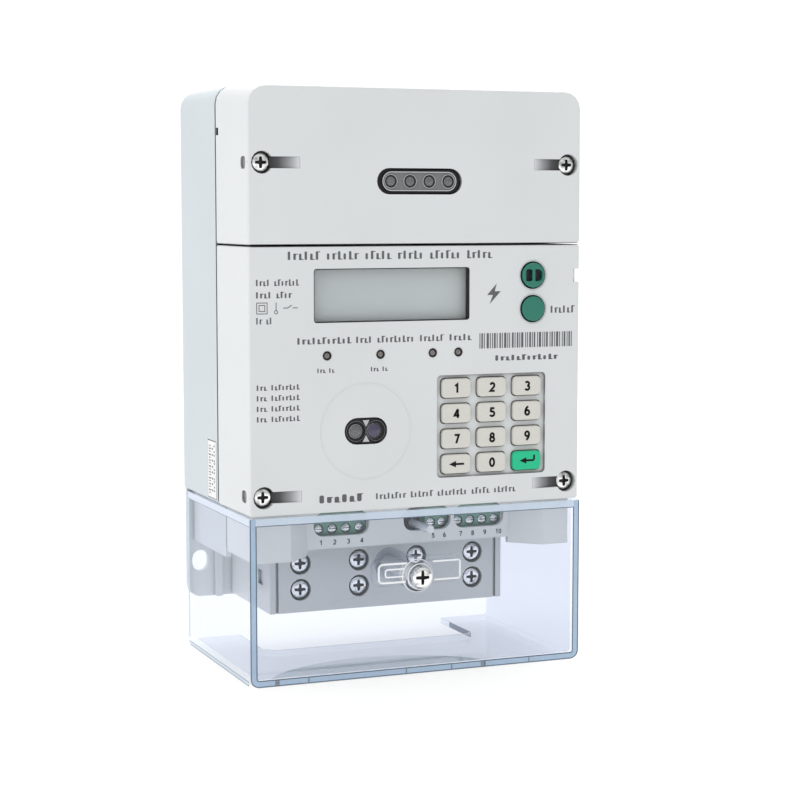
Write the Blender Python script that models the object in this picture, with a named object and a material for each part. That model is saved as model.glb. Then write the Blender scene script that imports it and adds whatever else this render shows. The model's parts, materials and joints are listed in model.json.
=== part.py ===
"""Prepaid electricity meter with keypad, clear terminal cover and plug-in module bay.

Sizes are in millimetres and MM turns them into metres. X runs to the right as the front is read, the
front looks along -Y, and the wall face lies in Y = 0. Heights are counted from the bottom edge of the
terminal cover, and an empty at the wall face carries everything, so that the part's origin is there.
"""

import math

import bmesh
import bpy
from mathutils import Vector

MM = 0.001

# Overall
HALF_WIDTH = 65.0
ORIGIN_HEIGHT = 106.65
BODY_BOTTOM = 61.2
BODY_TOP = 213.3
CORNER = 6.5
WALL = 2.4
GAP = 0.3

# Depths, all negative towards the front
REAR_WALL = -3.0
BASE_RIM = -44.3
FRONT_RIM = -45.7
FRONT = -80.9
FRONT_INSIDE = FRONT + WALL
DRAFT_SIDE = 0.7
DRAFT_TOP = 1.4
EDGE_ROUND = 1.0

# Module bay
MODULE_SEAM = 156.6
SEAM_GAP = 0.5
BAY_FLOOR = -48.1
BAY_HALF = 62.2

# Display and controls
BEHIND_FACE = -78.2
LCD_X, LCD_Z, LCD_WIDTH, LCD_HEIGHT = -10.4, 138.6, 60.0, 19.1
LED_PLACES = (-35.5, -15.2, 5.1, 15.2)
LED_Z = 117.4
LED_RADIUS = 1.4
OPTICAL_X, OPTICAL_Z, OPTICAL_RING = -20.8, 90.1, 17.2
OPTICAL_WIDTH, OPTICAL_HEIGHT = 16.4, 9.6
KEYPAD_X, KEYPAD_Z, KEYPAD_WIDTH, KEYPAD_HEIGHT = 28.6, 90.4, 43.6, 37.4
KEY_PITCH_X, KEY_PITCH_Z = 14.2, 9.25
KEY_WIDTH, KEY_HEIGHT = 11.5, 7.0
BUTTON_X, RESET_Z, SCROLL_Z, BUTTON_RADIUS = 45.0, 144.9, 132.6, 4.6
BUTTON_FACE = -82.1
POCKET_HALF = 2.15
SEAL_SCREW_X, SEAL_SCREW_LOW, SEAL_SCREW_HIGH = 59.2, 67.9, 185.2
GROOVE_END, GROOVE_HEIGHT = 45.3, 4.1
HEAD_POCKET, SHANK_HOLE, SCREW_BOSS = 4.0, 2.1, 5.2
SEAL_SLOT_LOW, SEAL_SLOT_HIGH = (-74.2, 67.9), (-75.4, 185.2)
SEAL_SLOT_DEPTH, SEAL_SLOT_HEIGHT = 5.0, 4.4
MODULE_WINDOW_Z, MODULE_WINDOW_WIDTH, MODULE_WINDOW_HEIGHT = 178.9, 32.9, 9.3
MODULE_LENS_PITCH = 7.4

# Terminals
COLUMN_PITCH = 23.3
COLUMNS = tuple(COLUMN_PITCH * (index - 1.5) for index in range(4))
SCREW_ROWS = (37.8, 28.0)
BLOCK_HALF, BLOCK_BOTTOM, BLOCK_TOP, BLOCK_FRONT = 47.0, 19.5, 60.8, -50.0
WELL_HALF, WELL_BACK, WELL_FRONT, WELL_FLOOR = 7.0, -18.0, -40.5, 22.5
CABLE_Y, ENTRY_RADIUS, BORE_RADIUS = -29.0, 5.5, 4.5
CLAMP_HEAD, CLAMP_FACE = 3.65, -49.4
APRON_HALF, APRON_WALL, APRON_FRONT, APRON_CENTRE = 62.0, 2.0, -77.0, -68.0
APRON_STEP_LEFT, APRON_STEP_RIGHT, APRON_SLOPE, APRON_LEAN = -39.0, 41.6, 9.5, 0.83
APRON_BOTTOM, APRON_CENTRE_BOTTOM, BASE_SKIRT_BOTTOM = 43.8, 46.1, 41.2
AUX_WINDOWS = {"left": (-36.2, -14.6), "centre": (-1.0, 18.0), "right": (19.3, 39.6)}
AUX_BOTTOM, AUX_TOP = 50.6, 59.4
AUX_SCREW_Z = 52.9
AUX_BLOCKS = {"left": (-36.0, -14.8, 4), "centre": (8.6, 17.8, 2), "right": (19.5, 39.4, 4)}

# Clear terminal cover
COVER_TOP, COVER_FRONT, COVER_REAR, COVER_WALL = 60.8, -81.5, -3.0, 2.5
COVER_SCREW_Z, COVER_BOSS = 36.0, 6.0
WING_HALF, WING_Z, WING_HEIGHT = 16.0, 37.8, 7.2
TAMPER_PIN_X, TAMPER_PIN_Z, TAMPER_PIN_RADIUS = 5.4, 52.6, 1.6
LUG_HOLE_X, LUG_HOLE_Z = 59.6, 33.0
PLATE_HALF, PLATE_BOTTOM, PLATE_THICKNESS = 64.6, 18.9, 2.7
LABEL_BACK, LABEL_FRONT, LABEL_LOW, LABEL_HIGH = -32.0, -42.8, 62.4, 84.0

# Wall hanger
HANGER_HALF, HANGER_LOW, HANGER_HOLE_Z = 12.0, 176.5, 205.0

PALETTE = {
    "housing_plastic": ((0.72, 0.74, 0.75, 1.0), 0.42, 0.0),
    "base_plastic": ((0.66, 0.71, 0.75, 1.0), 0.45, 0.0),
    "clear_plastic": ((0.86, 0.92, 0.97, 1.0), 0.06, 0.0),
    "block_plastic": ((0.48, 0.50, 0.52, 1.0), 0.4, 0.0),
    "brass": ((0.78, 0.57, 0.24, 1.0), 0.3, 1.0),
    "plated_steel": ((0.78, 0.78, 0.77, 1.0), 0.22, 1.0),
    "key_rubber": ((0.66, 0.65, 0.60, 1.0), 0.6, 0.0),
    "enter_rubber": ((0.02, 0.52, 0.25, 1.0), 0.5, 0.0),
    "button_plastic": ((0.03, 0.25, 0.17, 1.0), 0.4, 0.0),
    "display_glass": ((0.38, 0.43, 0.42, 1.0), 0.15, 0.0),
    "dark_window": ((0.02, 0.02, 0.025, 1.0), 0.08, 0.0),
    "led_lens": ((0.75, 0.74, 0.72, 1.0), 0.2, 0.0),
    "green_block": ((0.03, 0.16, 0.08, 1.0), 0.5, 0.0),
    "circuit_board": ((0.02, 0.2, 0.07, 1.0), 0.4, 0.0),
    "black_plastic": ((0.03, 0.03, 0.03, 1.0), 0.45, 0.0),
    "seal_rubber": ((0.05, 0.05, 0.055, 1.0), 0.7, 0.0),
    "label_film": ((0.86, 0.86, 0.85, 1.0), 0.5, 0.0),
}


def material(slot):
    """The slot's Principled material, made on first use."""
    found = bpy.data.materials.get(slot)
    if found:
        return found
    colour, roughness, metallic = PALETTE[slot]
    made = bpy.data.materials.new(slot)
    made.use_nodes = True
    shader = made.node_tree.nodes["Principled BSDF"]
    shader.inputs["Base Color"].default_value = colour
    shader.inputs["Roughness"].default_value = roughness
    shader.inputs["Metallic"].default_value = metallic
    return made


# Outlines are lists of (across, up) points, going round once.


def arc(cx, cz, radius, start, end, steps):
    """Points on an arc, from one angle to another in quarter turns."""
    turns = [start + (end - start) * step / steps for step in range(steps + 1)]
    return [
        (cx + radius * math.cos(turn * math.pi / 2), cz + radius * math.sin(turn * math.pi / 2))
        for turn in turns
    ]


def panel(x0, x1, z0, z1, low_radius, high_radius=None, steps=4):
    """A rectangle with rounded corners, which may differ between its lower and upper edge."""
    high = low_radius if high_radius is None else high_radius
    return (
        arc(x1 - low_radius, z0 + low_radius, low_radius, 3, 4, steps)
        + arc(x1 - high, z1 - high, high, 0, 1, steps)
        + arc(x0 + high, z1 - high, high, 1, 2, steps)
        + arc(x0 + low_radius, z0 + low_radius, low_radius, 2, 3, steps)
    )


def slab(cx, cz, width, height, radius, steps=3):
    """A rounded rectangle about its centre."""
    return panel(cx - width / 2, cx + width / 2, cz - height / 2, cz + height / 2, radius, None, steps)


def circle(cx, cz, radius, count=16):
    turns = [2 * math.pi * index / count for index in range(count)]
    return [(cx + radius * math.cos(turn), cz + radius * math.sin(turn)) for turn in turns]


def rectangle(x0, x1, z0, z1):
    return [(x0, z0), (x1, z0), (x1, z1), (x0, z1)]


def cross(cx, cz, arm, half):
    """A plus-shaped outline, for a cross recess."""
    corners = [
        (arm, -half), (arm, half), (half, half), (half, arm), (-half, arm), (-half, half),
        (-arm, half), (-arm, -half), (-half, -half), (-half, -arm), (half, -arm), (half, -half),
    ]
    return [(cx + x, cz + z) for x, z in corners]


# Solids are lists of rings of Vectors; neighbouring rings are joined and the two ends are capped.


def at_depth(outline, y):
    return [Vector((x, y, z)) for x, z in outline]


def prism(outline, y0, y1):
    """The outline pushed along Y."""
    return [at_depth(outline, y0), at_depth(outline, y1)]


def upright(plan, z0, z1):
    """A plan outline of (x, y) points pushed along Z."""
    return [[Vector((x, y, z)) for x, y in plan] for z in (z0, z1)]


def sideways(outline, x0, x1):
    """An outline of (y, z) points pushed along X."""
    return [[Vector((x, y, z)) for y, z in outline] for x in (x0, x1)]


def box(x0, x1, y0, y1, z0, z1):
    return prism(rectangle(x0, x1, z0, z1), y0, y1)


def turned(cx, cz, profile, count=16):
    """A round piece about a line along Y, from (depth, radius) pairs."""
    return [at_depth(circle(cx, cz, radius, count), y) for y, radius in profile]


def fill(mesh, solids, origin):
    made = bmesh.new()
    for rings in solids:
        loops = [[made.verts.new((point - origin) * MM) for point in ring] for ring in rings]
        made.faces.new(loops[0])
        made.faces.new(loops[-1])
        count = len(loops[0])
        for near, far in zip(loops, loops[1:]):
            for index in range(count):
                after = (index + 1) % count
                made.faces.new((near[index], near[after], far[after], far[index]))
    bmesh.ops.recalc_face_normals(made, faces=made.faces)
    made.to_mesh(mesh)
    made.free()


def place(name, solids, origin):
    mesh = bpy.data.meshes.new(name)
    fill(mesh, solids, Vector(origin))
    thing = bpy.data.objects.new(name, mesh)
    thing.location = Vector(origin) * MM
    thing.parent = bpy.data.objects["meter_origin"]
    bpy.context.scene.collection.objects.link(thing)
    return thing


def part(name, slot, solid, origin=(0.0, 0.0, 0.0), smooth=True):
    """One named piece, with its own origin and its slot's material."""
    thing = place(name, [solid], origin)
    thing.data.materials.append(material(slot))
    if smooth:
        thing.data.shade_smooth()
        thing.data.set_sharp_from_angle(angle=math.radians(35))
    return thing


def combine(thing, operation, solids):
    """Adds or cuts solids that don't touch each other."""
    count = len(thing.modifiers)
    helper = place(f"{thing.name}_{operation.lower()}_{count}", solids, (0.0, 0.0, 0.0))
    helper.hide_render = True
    helper.display_type = "WIRE"
    step = thing.modifiers.new(f"{operation.lower()}_{count}", "BOOLEAN")
    step.operation = operation
    step.solver = "EXACT"
    step.object = helper


def add(thing, *solids):
    combine(thing, "UNION", solids)


def cut(thing, *solids):
    combine(thing, "DIFFERENCE", solids)


def shaft(cx, cz, radius, y0, y1, count=16):
    """A round bar along Y."""
    return prism(circle(cx, cz, radius, count), y0, y1)


def on_both_sides(make):
    """What make gives for the left side and for the right side."""
    return [make(side) for side in (-1, 1)]


def screw_points(height):
    return [(side * SEAL_SCREW_X, height) for side in (-1, 1)]


def seal_groove(side, height):
    """The groove from a sealing screw towards the middle, whose floor rises to the face."""
    start, end = side * (SEAL_SCREW_X - 3.0), side * GROOVE_END
    low, high = height - GROOVE_HEIGHT / 2, height + GROOVE_HEIGHT / 2
    plan = [(start, FRONT - 1), (start, FRONT + 1.9), (end, FRONT + 0.15), (end, FRONT - 1)]
    return upright(plan, low, high)


def front_shell(name, z0, z1, low_radius, high_radius, top_draft):
    """A front casing: walls with draft and a rounded front edge, hollow from behind."""

    def outline(inset, side, top):
        return panel(
            -HALF_WIDTH + side + inset, HALF_WIDTH - side - inset, z0 + inset, z1 - top - inset,
            max(low_radius - inset, 0.3), max(high_radius - inset, 0.3),
        )

    rounds = [
        (EDGE_ROUND * (1 - math.cos(turn)), EDGE_ROUND * math.sin(turn))
        for turn in (0, math.pi / 4, math.pi / 2)
    ]
    rings = [at_depth(outline(0, 0, 0), FRONT_RIM)]
    rings += [
        at_depth(outline(inset, DRAFT_SIDE, top_draft), FRONT + EDGE_ROUND - forward)
        for inset, forward in rounds
    ]
    shell = part(name, "housing_plastic", rings)
    hollow = [
        at_depth(outline(WALL, 0, 0), FRONT_RIM + 5),
        at_depth(outline(WALL, DRAFT_SIDE, top_draft), FRONT_INSIDE),
    ]
    cut(shell, hollow)
    return shell


def seal_fittings(shell, height, boss_end, slot):
    """Screw bosses with head pockets, the sloping grooves, and the seal wire slot in each side."""
    points = screw_points(height)
    pocket = [
        (FRONT - 1, HEAD_POCKET), (FRONT + 4.4, HEAD_POCKET),
        (FRONT + 4.5, SHANK_HOLE), (boss_end + 2, SHANK_HOLE),
    ]
    add(shell, *[shaft(x, z, SCREW_BOSS, FRONT_INSIDE - 1, boss_end) for x, z in points])
    cut(shell, *[turned(x, z, pocket) for x, z in points])
    cut(shell, *on_both_sides(lambda side: seal_groove(side, height)))
    opening = slab(*slot, SEAL_SLOT_DEPTH, SEAL_SLOT_HEIGHT, 1.5)
    for side in (-1, 1):
        cut(shell, sideways(opening, side * 61.5, side * 67.0))


def make_rear_base():
    """The tray screwed to the wall, with its plate, lugs, side skirts and screw bosses."""
    outer = panel(-HALF_WIDTH, HALF_WIDTH, BODY_BOTTOM, BODY_TOP, 1.5, CORNER)
    base = part("rear_base", "base_plastic", prism(outer, 0.0, BASE_RIM))
    inside = HALF_WIDTH - WALL
    inner = panel(-inside, inside, BODY_BOTTOM + WALL, BODY_TOP - WALL, 0.6, CORNER - WALL)
    cut(base, prism(inner, REAR_WALL, BASE_RIM - 5))
    plate = panel(-PLATE_HALF, PLATE_HALF, PLATE_BOTTOM, BODY_BOTTOM + 1.2, 5.0, 0.4)
    add(base, prism(plate, 0.0, -PLATE_THICKNESS))
    add(base, *on_both_sides(lambda side: box(
        side * (APRON_HALF - APRON_WALL), side * APRON_HALF, -1.5, BASE_RIM,
        BASE_SKIRT_BOTTOM, BODY_BOTTOM + 1.2,
    )))
    ribs = [box(x - 1.2, x + 1.2, -1.5, -5.5, PLATE_BOTTOM + 0.05, BODY_BOTTOM + 1.1) for x in (-52.7, 52.7)]
    add(base, *ribs)
    bosses = screw_points(SEAL_SCREW_LOW) + screw_points(SEAL_SCREW_HIGH)
    add(base, *[shaft(x, z, 3.7, -2.0, BASE_RIM) for x, z in bosses])
    add(base, box(-17.0, 17.0, -2.0, -6.0, 172.0, BODY_TOP - 1.0))
    cut(base, *[shaft(x, z, 1.9, -30.0, BASE_RIM - 1) for x, z in bosses])
    holes = [slab(side * LUG_HOLE_X, LUG_HOLE_Z, 6.5, 8.3, 3.2) for side in (-1, 1)]
    cut(base, *[prism(hole, 1.0, -4.0) for hole in holes])
    tails = [box(x - 5.6, x + 5.6, -24.0, -30.0, BODY_BOTTOM - 1, BODY_BOTTOM + WALL + 1) for x in COLUMNS]
    cut(base, *tails)
    cut(base, box(-HANGER_HALF - 0.4, HANGER_HALF + 0.4, -1.0, -3.4, HANGER_LOW - 1.0, BODY_TOP + 2))
    cut(base, box(-9.0, 9.0, 1.0, -1.2, 178.0, BODY_TOP + 2))
    side_face = -HALF_WIDTH
    cut(base, box(side_face - 1, side_face + 0.45, LABEL_BACK, LABEL_FRONT, LABEL_LOW, LABEL_HIGH))


def apron_plan():
    """The skirt below the front casing, in plan: its outer line and, back again, its inner line."""
    wall, lean = APRON_WALL, APRON_LEAN
    left, right = APRON_STEP_LEFT, APRON_STEP_RIGHT
    left_end, right_end = left - APRON_SLOPE + 0.5, right + APRON_SLOPE + 0.4
    inside = APRON_HALF - wall
    front, centre = APRON_FRONT, APRON_CENTRE
    outer = [
        (-APRON_HALF, FRONT_RIM), (-APRON_HALF, front), (left_end, front), (left, centre),
        (right, centre), (right_end, front), (APRON_HALF, front), (APRON_HALF, FRONT_RIM),
    ]
    inner = [
        (inside, FRONT_RIM), (inside, front + wall), (right_end + lean, front + wall),
        (right + lean, centre + wall), (left - lean, centre + wall), (left_end - lean, front + wall),
        (-inside, front + wall), (-inside, FRONT_RIM),
    ]
    return outer + inner


def key_places():
    """(row, column, x, z) of the twelve keys, from the top left."""
    return [
        (row, column, KEYPAD_X + (column - 1) * KEY_PITCH_X, KEYPAD_Z + (1.5 - row) * KEY_PITCH_Z)
        for row in range(4)
        for column in range(3)
    ]


def cut_controls(shell):
    """The openings in the front for the display, keys, buttons, lights and optical port."""
    y0, y1 = FRONT - 1, FRONT_INSIDE + 1
    cut(shell, prism(slab(LCD_X, LCD_Z, LCD_WIDTH, LCD_HEIGHT, 1.0), y0, y1))
    cut(shell, prism(slab(KEYPAD_X, KEYPAD_Z, KEYPAD_WIDTH, KEYPAD_HEIGHT, 1.5), y0, FRONT + 1.0))
    cut(shell, *[
        prism(slab(x, z, KEY_WIDTH + 2 * GAP, KEY_HEIGHT + 2 * GAP, 1.6), y0, y1)
        for row, column, x, z in key_places()
    ])
    cut(shell, *[shaft(BUTTON_X, z, BUTTON_RADIUS + 0.5, y0, y1, 24) for z in (RESET_Z, SCROLL_Z)])
    cut(shell, *[shaft(x, LED_Z, LED_RADIUS + GAP, y0, y1, 12) for x in LED_PLACES])
    cut(shell, prism(slab(OPTICAL_X, OPTICAL_Z, OPTICAL_WIDTH, OPTICAL_HEIGHT, 4.7, 5), y0, y1))


def make_front_housing():
    """The front casing below the seam, with the module bay's floor above it and the skirt below it."""
    seam = MODULE_SEAM - SEAM_GAP
    shell = front_shell("front_housing", BODY_BOTTOM, seam, 1.0, 0.8, 0.0)
    bay_top = BODY_TOP - WALL - 0.5
    add(shell, box(-BAY_HALF, BAY_HALF, FRONT_RIM, BAY_FLOOR, MODULE_SEAM - 2.0, bay_top))
    cut(shell, *on_both_sides(
        lambda side: box(side * 56.0, side * 63.5, FRONT_RIM + 1, BAY_FLOOR - 1, 204.0, BODY_TOP)
    ))
    add(shell, upright(apron_plan(), APRON_BOTTOM, BODY_BOTTOM + 1.2))
    y0, y1 = APRON_CENTRE - 1, APRON_CENTRE + 3
    step = box(APRON_STEP_LEFT + 0.1, APRON_STEP_RIGHT - 0.1, y0, y1, APRON_BOTTOM - 1, APRON_CENTRE_BOTTOM)
    cut(shell, step)
    windows = [prism(panel(x0, x1, AUX_BOTTOM, AUX_TOP, 3.6), y0, y1) for x0, x1 in AUX_WINDOWS.values()]
    cut(shell, *windows)
    add(shell, box(58.5, 63.4, -74.0, FRONT_INSIDE - 1, 139.5, 150.0))
    cut(shell, box(61.6, 67.0, -76.5, FRONT - 1, 142.2, 147.1))
    posts = [(side * 54.0, z) for side in (-1, 1) for z in (77.5, 148.5)]
    add(shell, *[shaft(x, z, 2.0, FRONT_INSIDE - 1, -74.6, 12) for x, z in posts])
    posts = [(side * 46.0, z) for side in (-1, 1) for z in (166.0, 202.0)]
    add(shell, *[shaft(x, z, 2.2, BAY_FLOOR + 1, -58.1, 12) for x, z in posts])
    seal_fittings(shell, SEAL_SCREW_LOW, FRONT_RIM, SEAL_SLOT_LOW)
    upper = screw_points(SEAL_SCREW_HIGH)
    cut(shell, *[shaft(x, z, SHANK_HOLE, FRONT_RIM + 1, BAY_FLOOR - 1) for x, z in upper])
    cut_controls(shell)


def make_module_cover():
    """The cap over the plug-in module, with its own sealing screws and light window."""
    shell = front_shell("module_cover", MODULE_SEAM, BODY_TOP, 0.8, CORNER, DRAFT_TOP)
    cut(shell, box(-62.6, 62.6, FRONT_RIM + 1, BAY_FLOOR - GAP, MODULE_SEAM - 1, MODULE_SEAM + WALL + 1))
    seal_fittings(shell, SEAL_SCREW_HIGH, BAY_FLOOR - GAP, SEAL_SLOT_HIGH)
    window = slab(0.0, MODULE_WINDOW_Z, MODULE_WINDOW_WIDTH, MODULE_WINDOW_HEIGHT, 4.6, 5)
    cut(shell, prism(window, FRONT - 1, FRONT_INSIDE + 1))
    cut(shell, box(-HALF_WIDTH - 1, -61.0, FRONT_RIM + 1, FRONT_RIM - 2.7, 195.5, 198.2))


def make_terminal_cover():
    """The clear cover over the terminals: open behind and above, with a cable cut-out in its floor."""

    def outline(inset):
        return panel(-HALF_WIDTH + inset, HALF_WIDTH - inset, inset, COVER_TOP, 3.5, 0.3)

    rounds = [(0.0, 0.0), (0.45, 1.05), (1.5, 1.5)]
    rings = [at_depth(outline(0.0), COVER_REAR)]
    rings += [at_depth(outline(inset), COVER_FRONT + 1.5 - forward) for inset, forward in rounds]
    cover = part("terminal_cover", "clear_plastic", rings)
    inner = panel(-HALF_WIDTH + COVER_WALL, HALF_WIDTH - COVER_WALL, COVER_WALL, COVER_TOP + 5, 1.2, 0.3)
    cut(cover, prism(inner, COVER_REAR + 5, COVER_FRONT + COVER_WALL))
    cable_way = [(-44.0, 2.0), (-44.0, -32.0), (-40.0, -35.5), (39.0, -35.5), (42.0, -33.0), (42.0, 2.0)]
    cut(cover, upright(cable_way, -1.0, 4.0))
    inside = COVER_FRONT + COVER_WALL
    wing_outside = slab(0.0, WING_Z, 2 * WING_HALF + 3.0, WING_HEIGHT + 3.0, 3.0)
    wing_inside = slab(0.0, WING_Z, 2 * WING_HALF, WING_HEIGHT, 2.0)
    add(cover, prism(wing_outside, inside - 0.5, inside + 3.0))
    cut(cover, prism(wing_inside, COVER_FRONT - 1, inside + 1.2))
    add(cover, shaft(0.0, COVER_SCREW_Z, COVER_BOSS, COVER_FRONT + 0.4, BLOCK_FRONT - 0.6, 20))
    add(cover, shaft(TAMPER_PIN_X, TAMPER_PIN_Z, TAMPER_PIN_RADIUS, inside - 1, -60.0, 12))
    bore = [(COVER_FRONT - 1, 4.5), (-79.3, 4.5), (-79.2, 2.5), (-48.0, 2.5)]
    cut(cover, turned(0.0, COVER_SCREW_Z, bore))


def make_gasket():
    outer = panel(-64.5, 64.5, BODY_BOTTOM + 0.5, BODY_TOP - 0.5, 1.2, CORNER - 0.5)
    gasket = part("housing_gasket", "seal_rubber", prism(outer, BASE_RIM - GAP, FRONT_RIM + GAP))
    inner = panel(-62.9, 62.9, BODY_BOTTOM + 2.1, BODY_TOP - 2.1, 0.6, CORNER - 2.1)
    cut(gasket, prism(inner, BASE_RIM + 1, FRONT_RIM - 1))


def make_terminal_block():
    """The moulded block: four open-topped wells, a cable way below each, and two screw bores in front."""
    body = box(-BLOCK_HALF, BLOCK_HALF, -3.0, BLOCK_FRONT, BLOCK_BOTTOM, BLOCK_TOP)
    block = part("terminal_block", "block_plastic", body)
    cut(block, *[
        box(x - WELL_HALF, x + WELL_HALF, WELL_BACK, WELL_FRONT, WELL_FLOOR, BLOCK_TOP + 1)
        for x in COLUMNS
    ])
    plans = [circle(x, CABLE_Y, ENTRY_RADIUS, 12) for x in COLUMNS]
    cut(block, *[upright(plan, BLOCK_BOTTOM - 1, WELL_FLOOR + 1) for plan in plans])
    y0 = BLOCK_FRONT - 1
    bores = [(x, z) for x in COLUMNS for z in SCREW_ROWS]
    cut(block, *[shaft(x, z, CLAMP_HEAD + 0.45, y0, WELL_FRONT + 1) for x, z in bores])
    cut(block, shaft(0.0, COVER_SCREW_Z, 2.0, y0, -32.0, 12))
    grooves = [
        box(x - 0.5, x + 0.5, y0, BLOCK_FRONT + 0.9, BLOCK_BOTTOM - 1, BLOCK_TOP + 1) for x in (-44.2, 44.2)
    ]
    cut(block, *grooves)
    cut(block, *on_both_sides(lambda side: box(side * 45.8, side * 48.0, -35.8, -41.4, 29.0, 34.6)))


def make_terminals():
    """Brass cage terminals with their tails, and their two clamping screws each."""
    shoulder = CLAMP_FACE + 2.7
    profile = [
        (-34.0, 2.0), (-34.8, 2.5), (shoulder + 0.1, 2.5), (shoulder, CLAMP_HEAD),
        (CLAMP_FACE + 0.4, CLAMP_HEAD), (CLAMP_FACE, CLAMP_HEAD - 0.45),
    ]
    for number, x in enumerate(COLUMNS, 1):
        cage = box(x - 6.6, x + 6.6, WELL_BACK - 0.4, WELL_FRONT + 0.4, WELL_FLOOR + 0.4, 52.0)
        brass = part(f"brass_terminal_{number}", "brass", cage)
        add(brass, box(x - 5.0, x + 5.0, -24.6, -29.4, 51.0, 74.0))
        cut(brass, upright(circle(x, CABLE_Y, BORE_RADIUS, 12), 21.0, 49.0))
        cut(brass, *[shaft(x, z, 2.9, -42.0, CABLE_Y) for z in SCREW_ROWS])
        for row, z in enumerate(SCREW_ROWS):
            name = f"terminal_screw_{2 * number - 1 + row}"
            screw = part(name, "plated_steel", turned(x, z, profile), (x, CLAMP_FACE, z))
            cut(screw, prism(cross(x, z, 2.4, 0.55), CLAMP_FACE - 1.6, CLAMP_FACE + 1.4))


def make_seal_screw(name, x, z):
    """A long drilled-head screw through the front casing into the base."""
    head = FRONT + 1.6
    profile = [
        (-34.0, 1.3), (-35.0, 1.6), (head + 2.4, 1.6), (head + 2.5, 3.6), (head + 0.5, 3.6), (head, 2.9),
    ]
    screw = part(name, "plated_steel", turned(x, z, profile), (x, head, z))
    cut(screw, prism(cross(x, z, 2.1, 0.5), head - 1, head + 1.3))


def make_screws():
    for side, x in (("left", -SEAL_SCREW_X), ("right", SEAL_SCREW_X)):
        make_seal_screw(f"housing_screw_{side}", x, SEAL_SCREW_LOW)
        make_seal_screw(f"module_screw_{side}", x, SEAL_SCREW_HIGH)
    z, face = COVER_SCREW_Z, -84.0
    profile = [(-34.0, 1.2), (-35.0, 1.6), (-79.4, 1.6), (-79.5, 3.8), (face + 0.7, 3.8), (face, 2.9)]
    screw = part("terminal_cover_screw", "plated_steel", turned(0.0, z, profile, 20), (0.0, face, z))
    cut(screw, prism(cross(0.0, z, 2.4, 0.55), face - 1, face + 1.5))


def make_aux_blocks():
    """The small auxiliary terminal blocks behind the skirt's windows, with round screw wells."""
    for side, (x0, x1, count) in AUX_BLOCKS.items():
        body = box(x0, x1, -65.4, -51.0, 48.0, 60.6)
        block = part(f"aux_terminals_{side}", "green_block", body)
        pitch = (x1 - x0) / count
        starts = [x0 + index * pitch for index in range(count)]
        cut(block, *[shaft(x + pitch / 2, AUX_SCREW_Z, 1.9, -67.0, -62.0, 12) for x in starts])
        cut(block, *[
            upright(rectangle(x + 1.3, x + pitch - 1.3, -61.4, -55.0), 47.0, 53.0) for x in starts
        ])


def make_display():
    """Clear window, liquid crystal panel and backlight, one behind the other."""
    for name, slot, grow, y0, y1 in (
        ("lcd_window", "clear_plastic", 4.0, -78.2, -77.2),
        ("lcd_panel", "display_glass", 5.0, -76.9, -75.9),
        ("lcd_backlight", "label_film", 3.0, -75.6, -74.6),
    ):
        part(name, slot, prism(slab(LCD_X, LCD_Z, LCD_WIDTH + grow, LCD_HEIGHT + grow, 1.0, 2), y0, y1))


def make_keys():
    """Twelve key caps held behind the face by a flange, over a rubber mat."""
    last_row = ("key_back", "key_0", "key_enter")
    for row, column, x, z in key_places():
        name = f"key_{3 * row + column + 1}" if row < 3 else last_row[column]
        slot = "enter_rubber" if name == "key_enter" else "key_rubber"
        cap = slab(x, z, KEY_WIDTH, KEY_HEIGHT, 1.5, 2)
        flange = slab(x, z, KEY_WIDTH + 1.3, KEY_HEIGHT + 1.3, 1.9, 2)
        rings = [
            at_depth(slab(x, z, KEY_WIDTH - 0.8, KEY_HEIGHT - 0.8, 1.1, 2), -81.5),
            at_depth(cap, -81.1),
            at_depth(cap, BEHIND_FACE - 0.05),
            at_depth(flange, BEHIND_FACE + 0.05),
            at_depth(flange, -77.4),
        ]
        part(name, slot, rings, (x, -81.5, z))
    mat = slab(KEYPAD_X, KEYPAD_Z, KEYPAD_WIDTH - 0.6, KEYPAD_HEIGHT - 0.4, 1.5, 2)
    part("keypad_mat", "seal_rubber", prism(mat, -76.0, -74.6))


def make_buttons():
    """The sealable reset button, with an upright web between its two pockets, and the scroll button."""
    profile = [
        (-77.4, BUTTON_RADIUS + 1.2), (BEHIND_FACE + 0.05, BUTTON_RADIUS + 1.2),
        (BEHIND_FACE - 0.05, BUTTON_RADIUS), (BUTTON_FACE + 0.5, BUTTON_RADIUS),
        (BUTTON_FACE, BUTTON_RADIUS - 0.6),
    ]
    for name, z in (("reset_button", RESET_Z), ("scroll_button", SCROLL_Z)):
        part(name, "button_plastic", turned(BUTTON_X, z, profile, 24), (BUTTON_X, BUTTON_FACE, z))
    low, high = RESET_Z - POCKET_HALF, RESET_Z + POCKET_HALF
    left = panel(BUTTON_X - 3.15, BUTTON_X - 0.7, low, high, 0.6)
    right = (
        arc(BUTTON_X + 1.7, low + 1.6, 1.6, 3, 4, 4) + arc(BUTTON_X + 1.7, high - 1.6, 1.6, 0, 1, 4)
        + [(BUTTON_X + 0.5, high), (BUTTON_X + 0.5, low)]
    )
    cut(bpy.data.objects["reset_button"], prism(left, -84.0, -80.6), prism(right, -84.0, -80.6))


def dark_window(name, x, z, width, height, face, back):
    """A dark window with rounded ends, held behind the front by a flange."""
    glass = slab(x, z, width, height, height / 2 - 0.1, 5)
    flange = slab(x, z, width + 2.8, height + 2.8, height / 2 + 1.3, 5)
    rings = [
        at_depth(glass, face), at_depth(glass, BEHIND_FACE - 0.05),
        at_depth(flange, BEHIND_FACE + 0.05), at_depth(flange, back),
    ]
    return part(name, "dark_window", rings)


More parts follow.
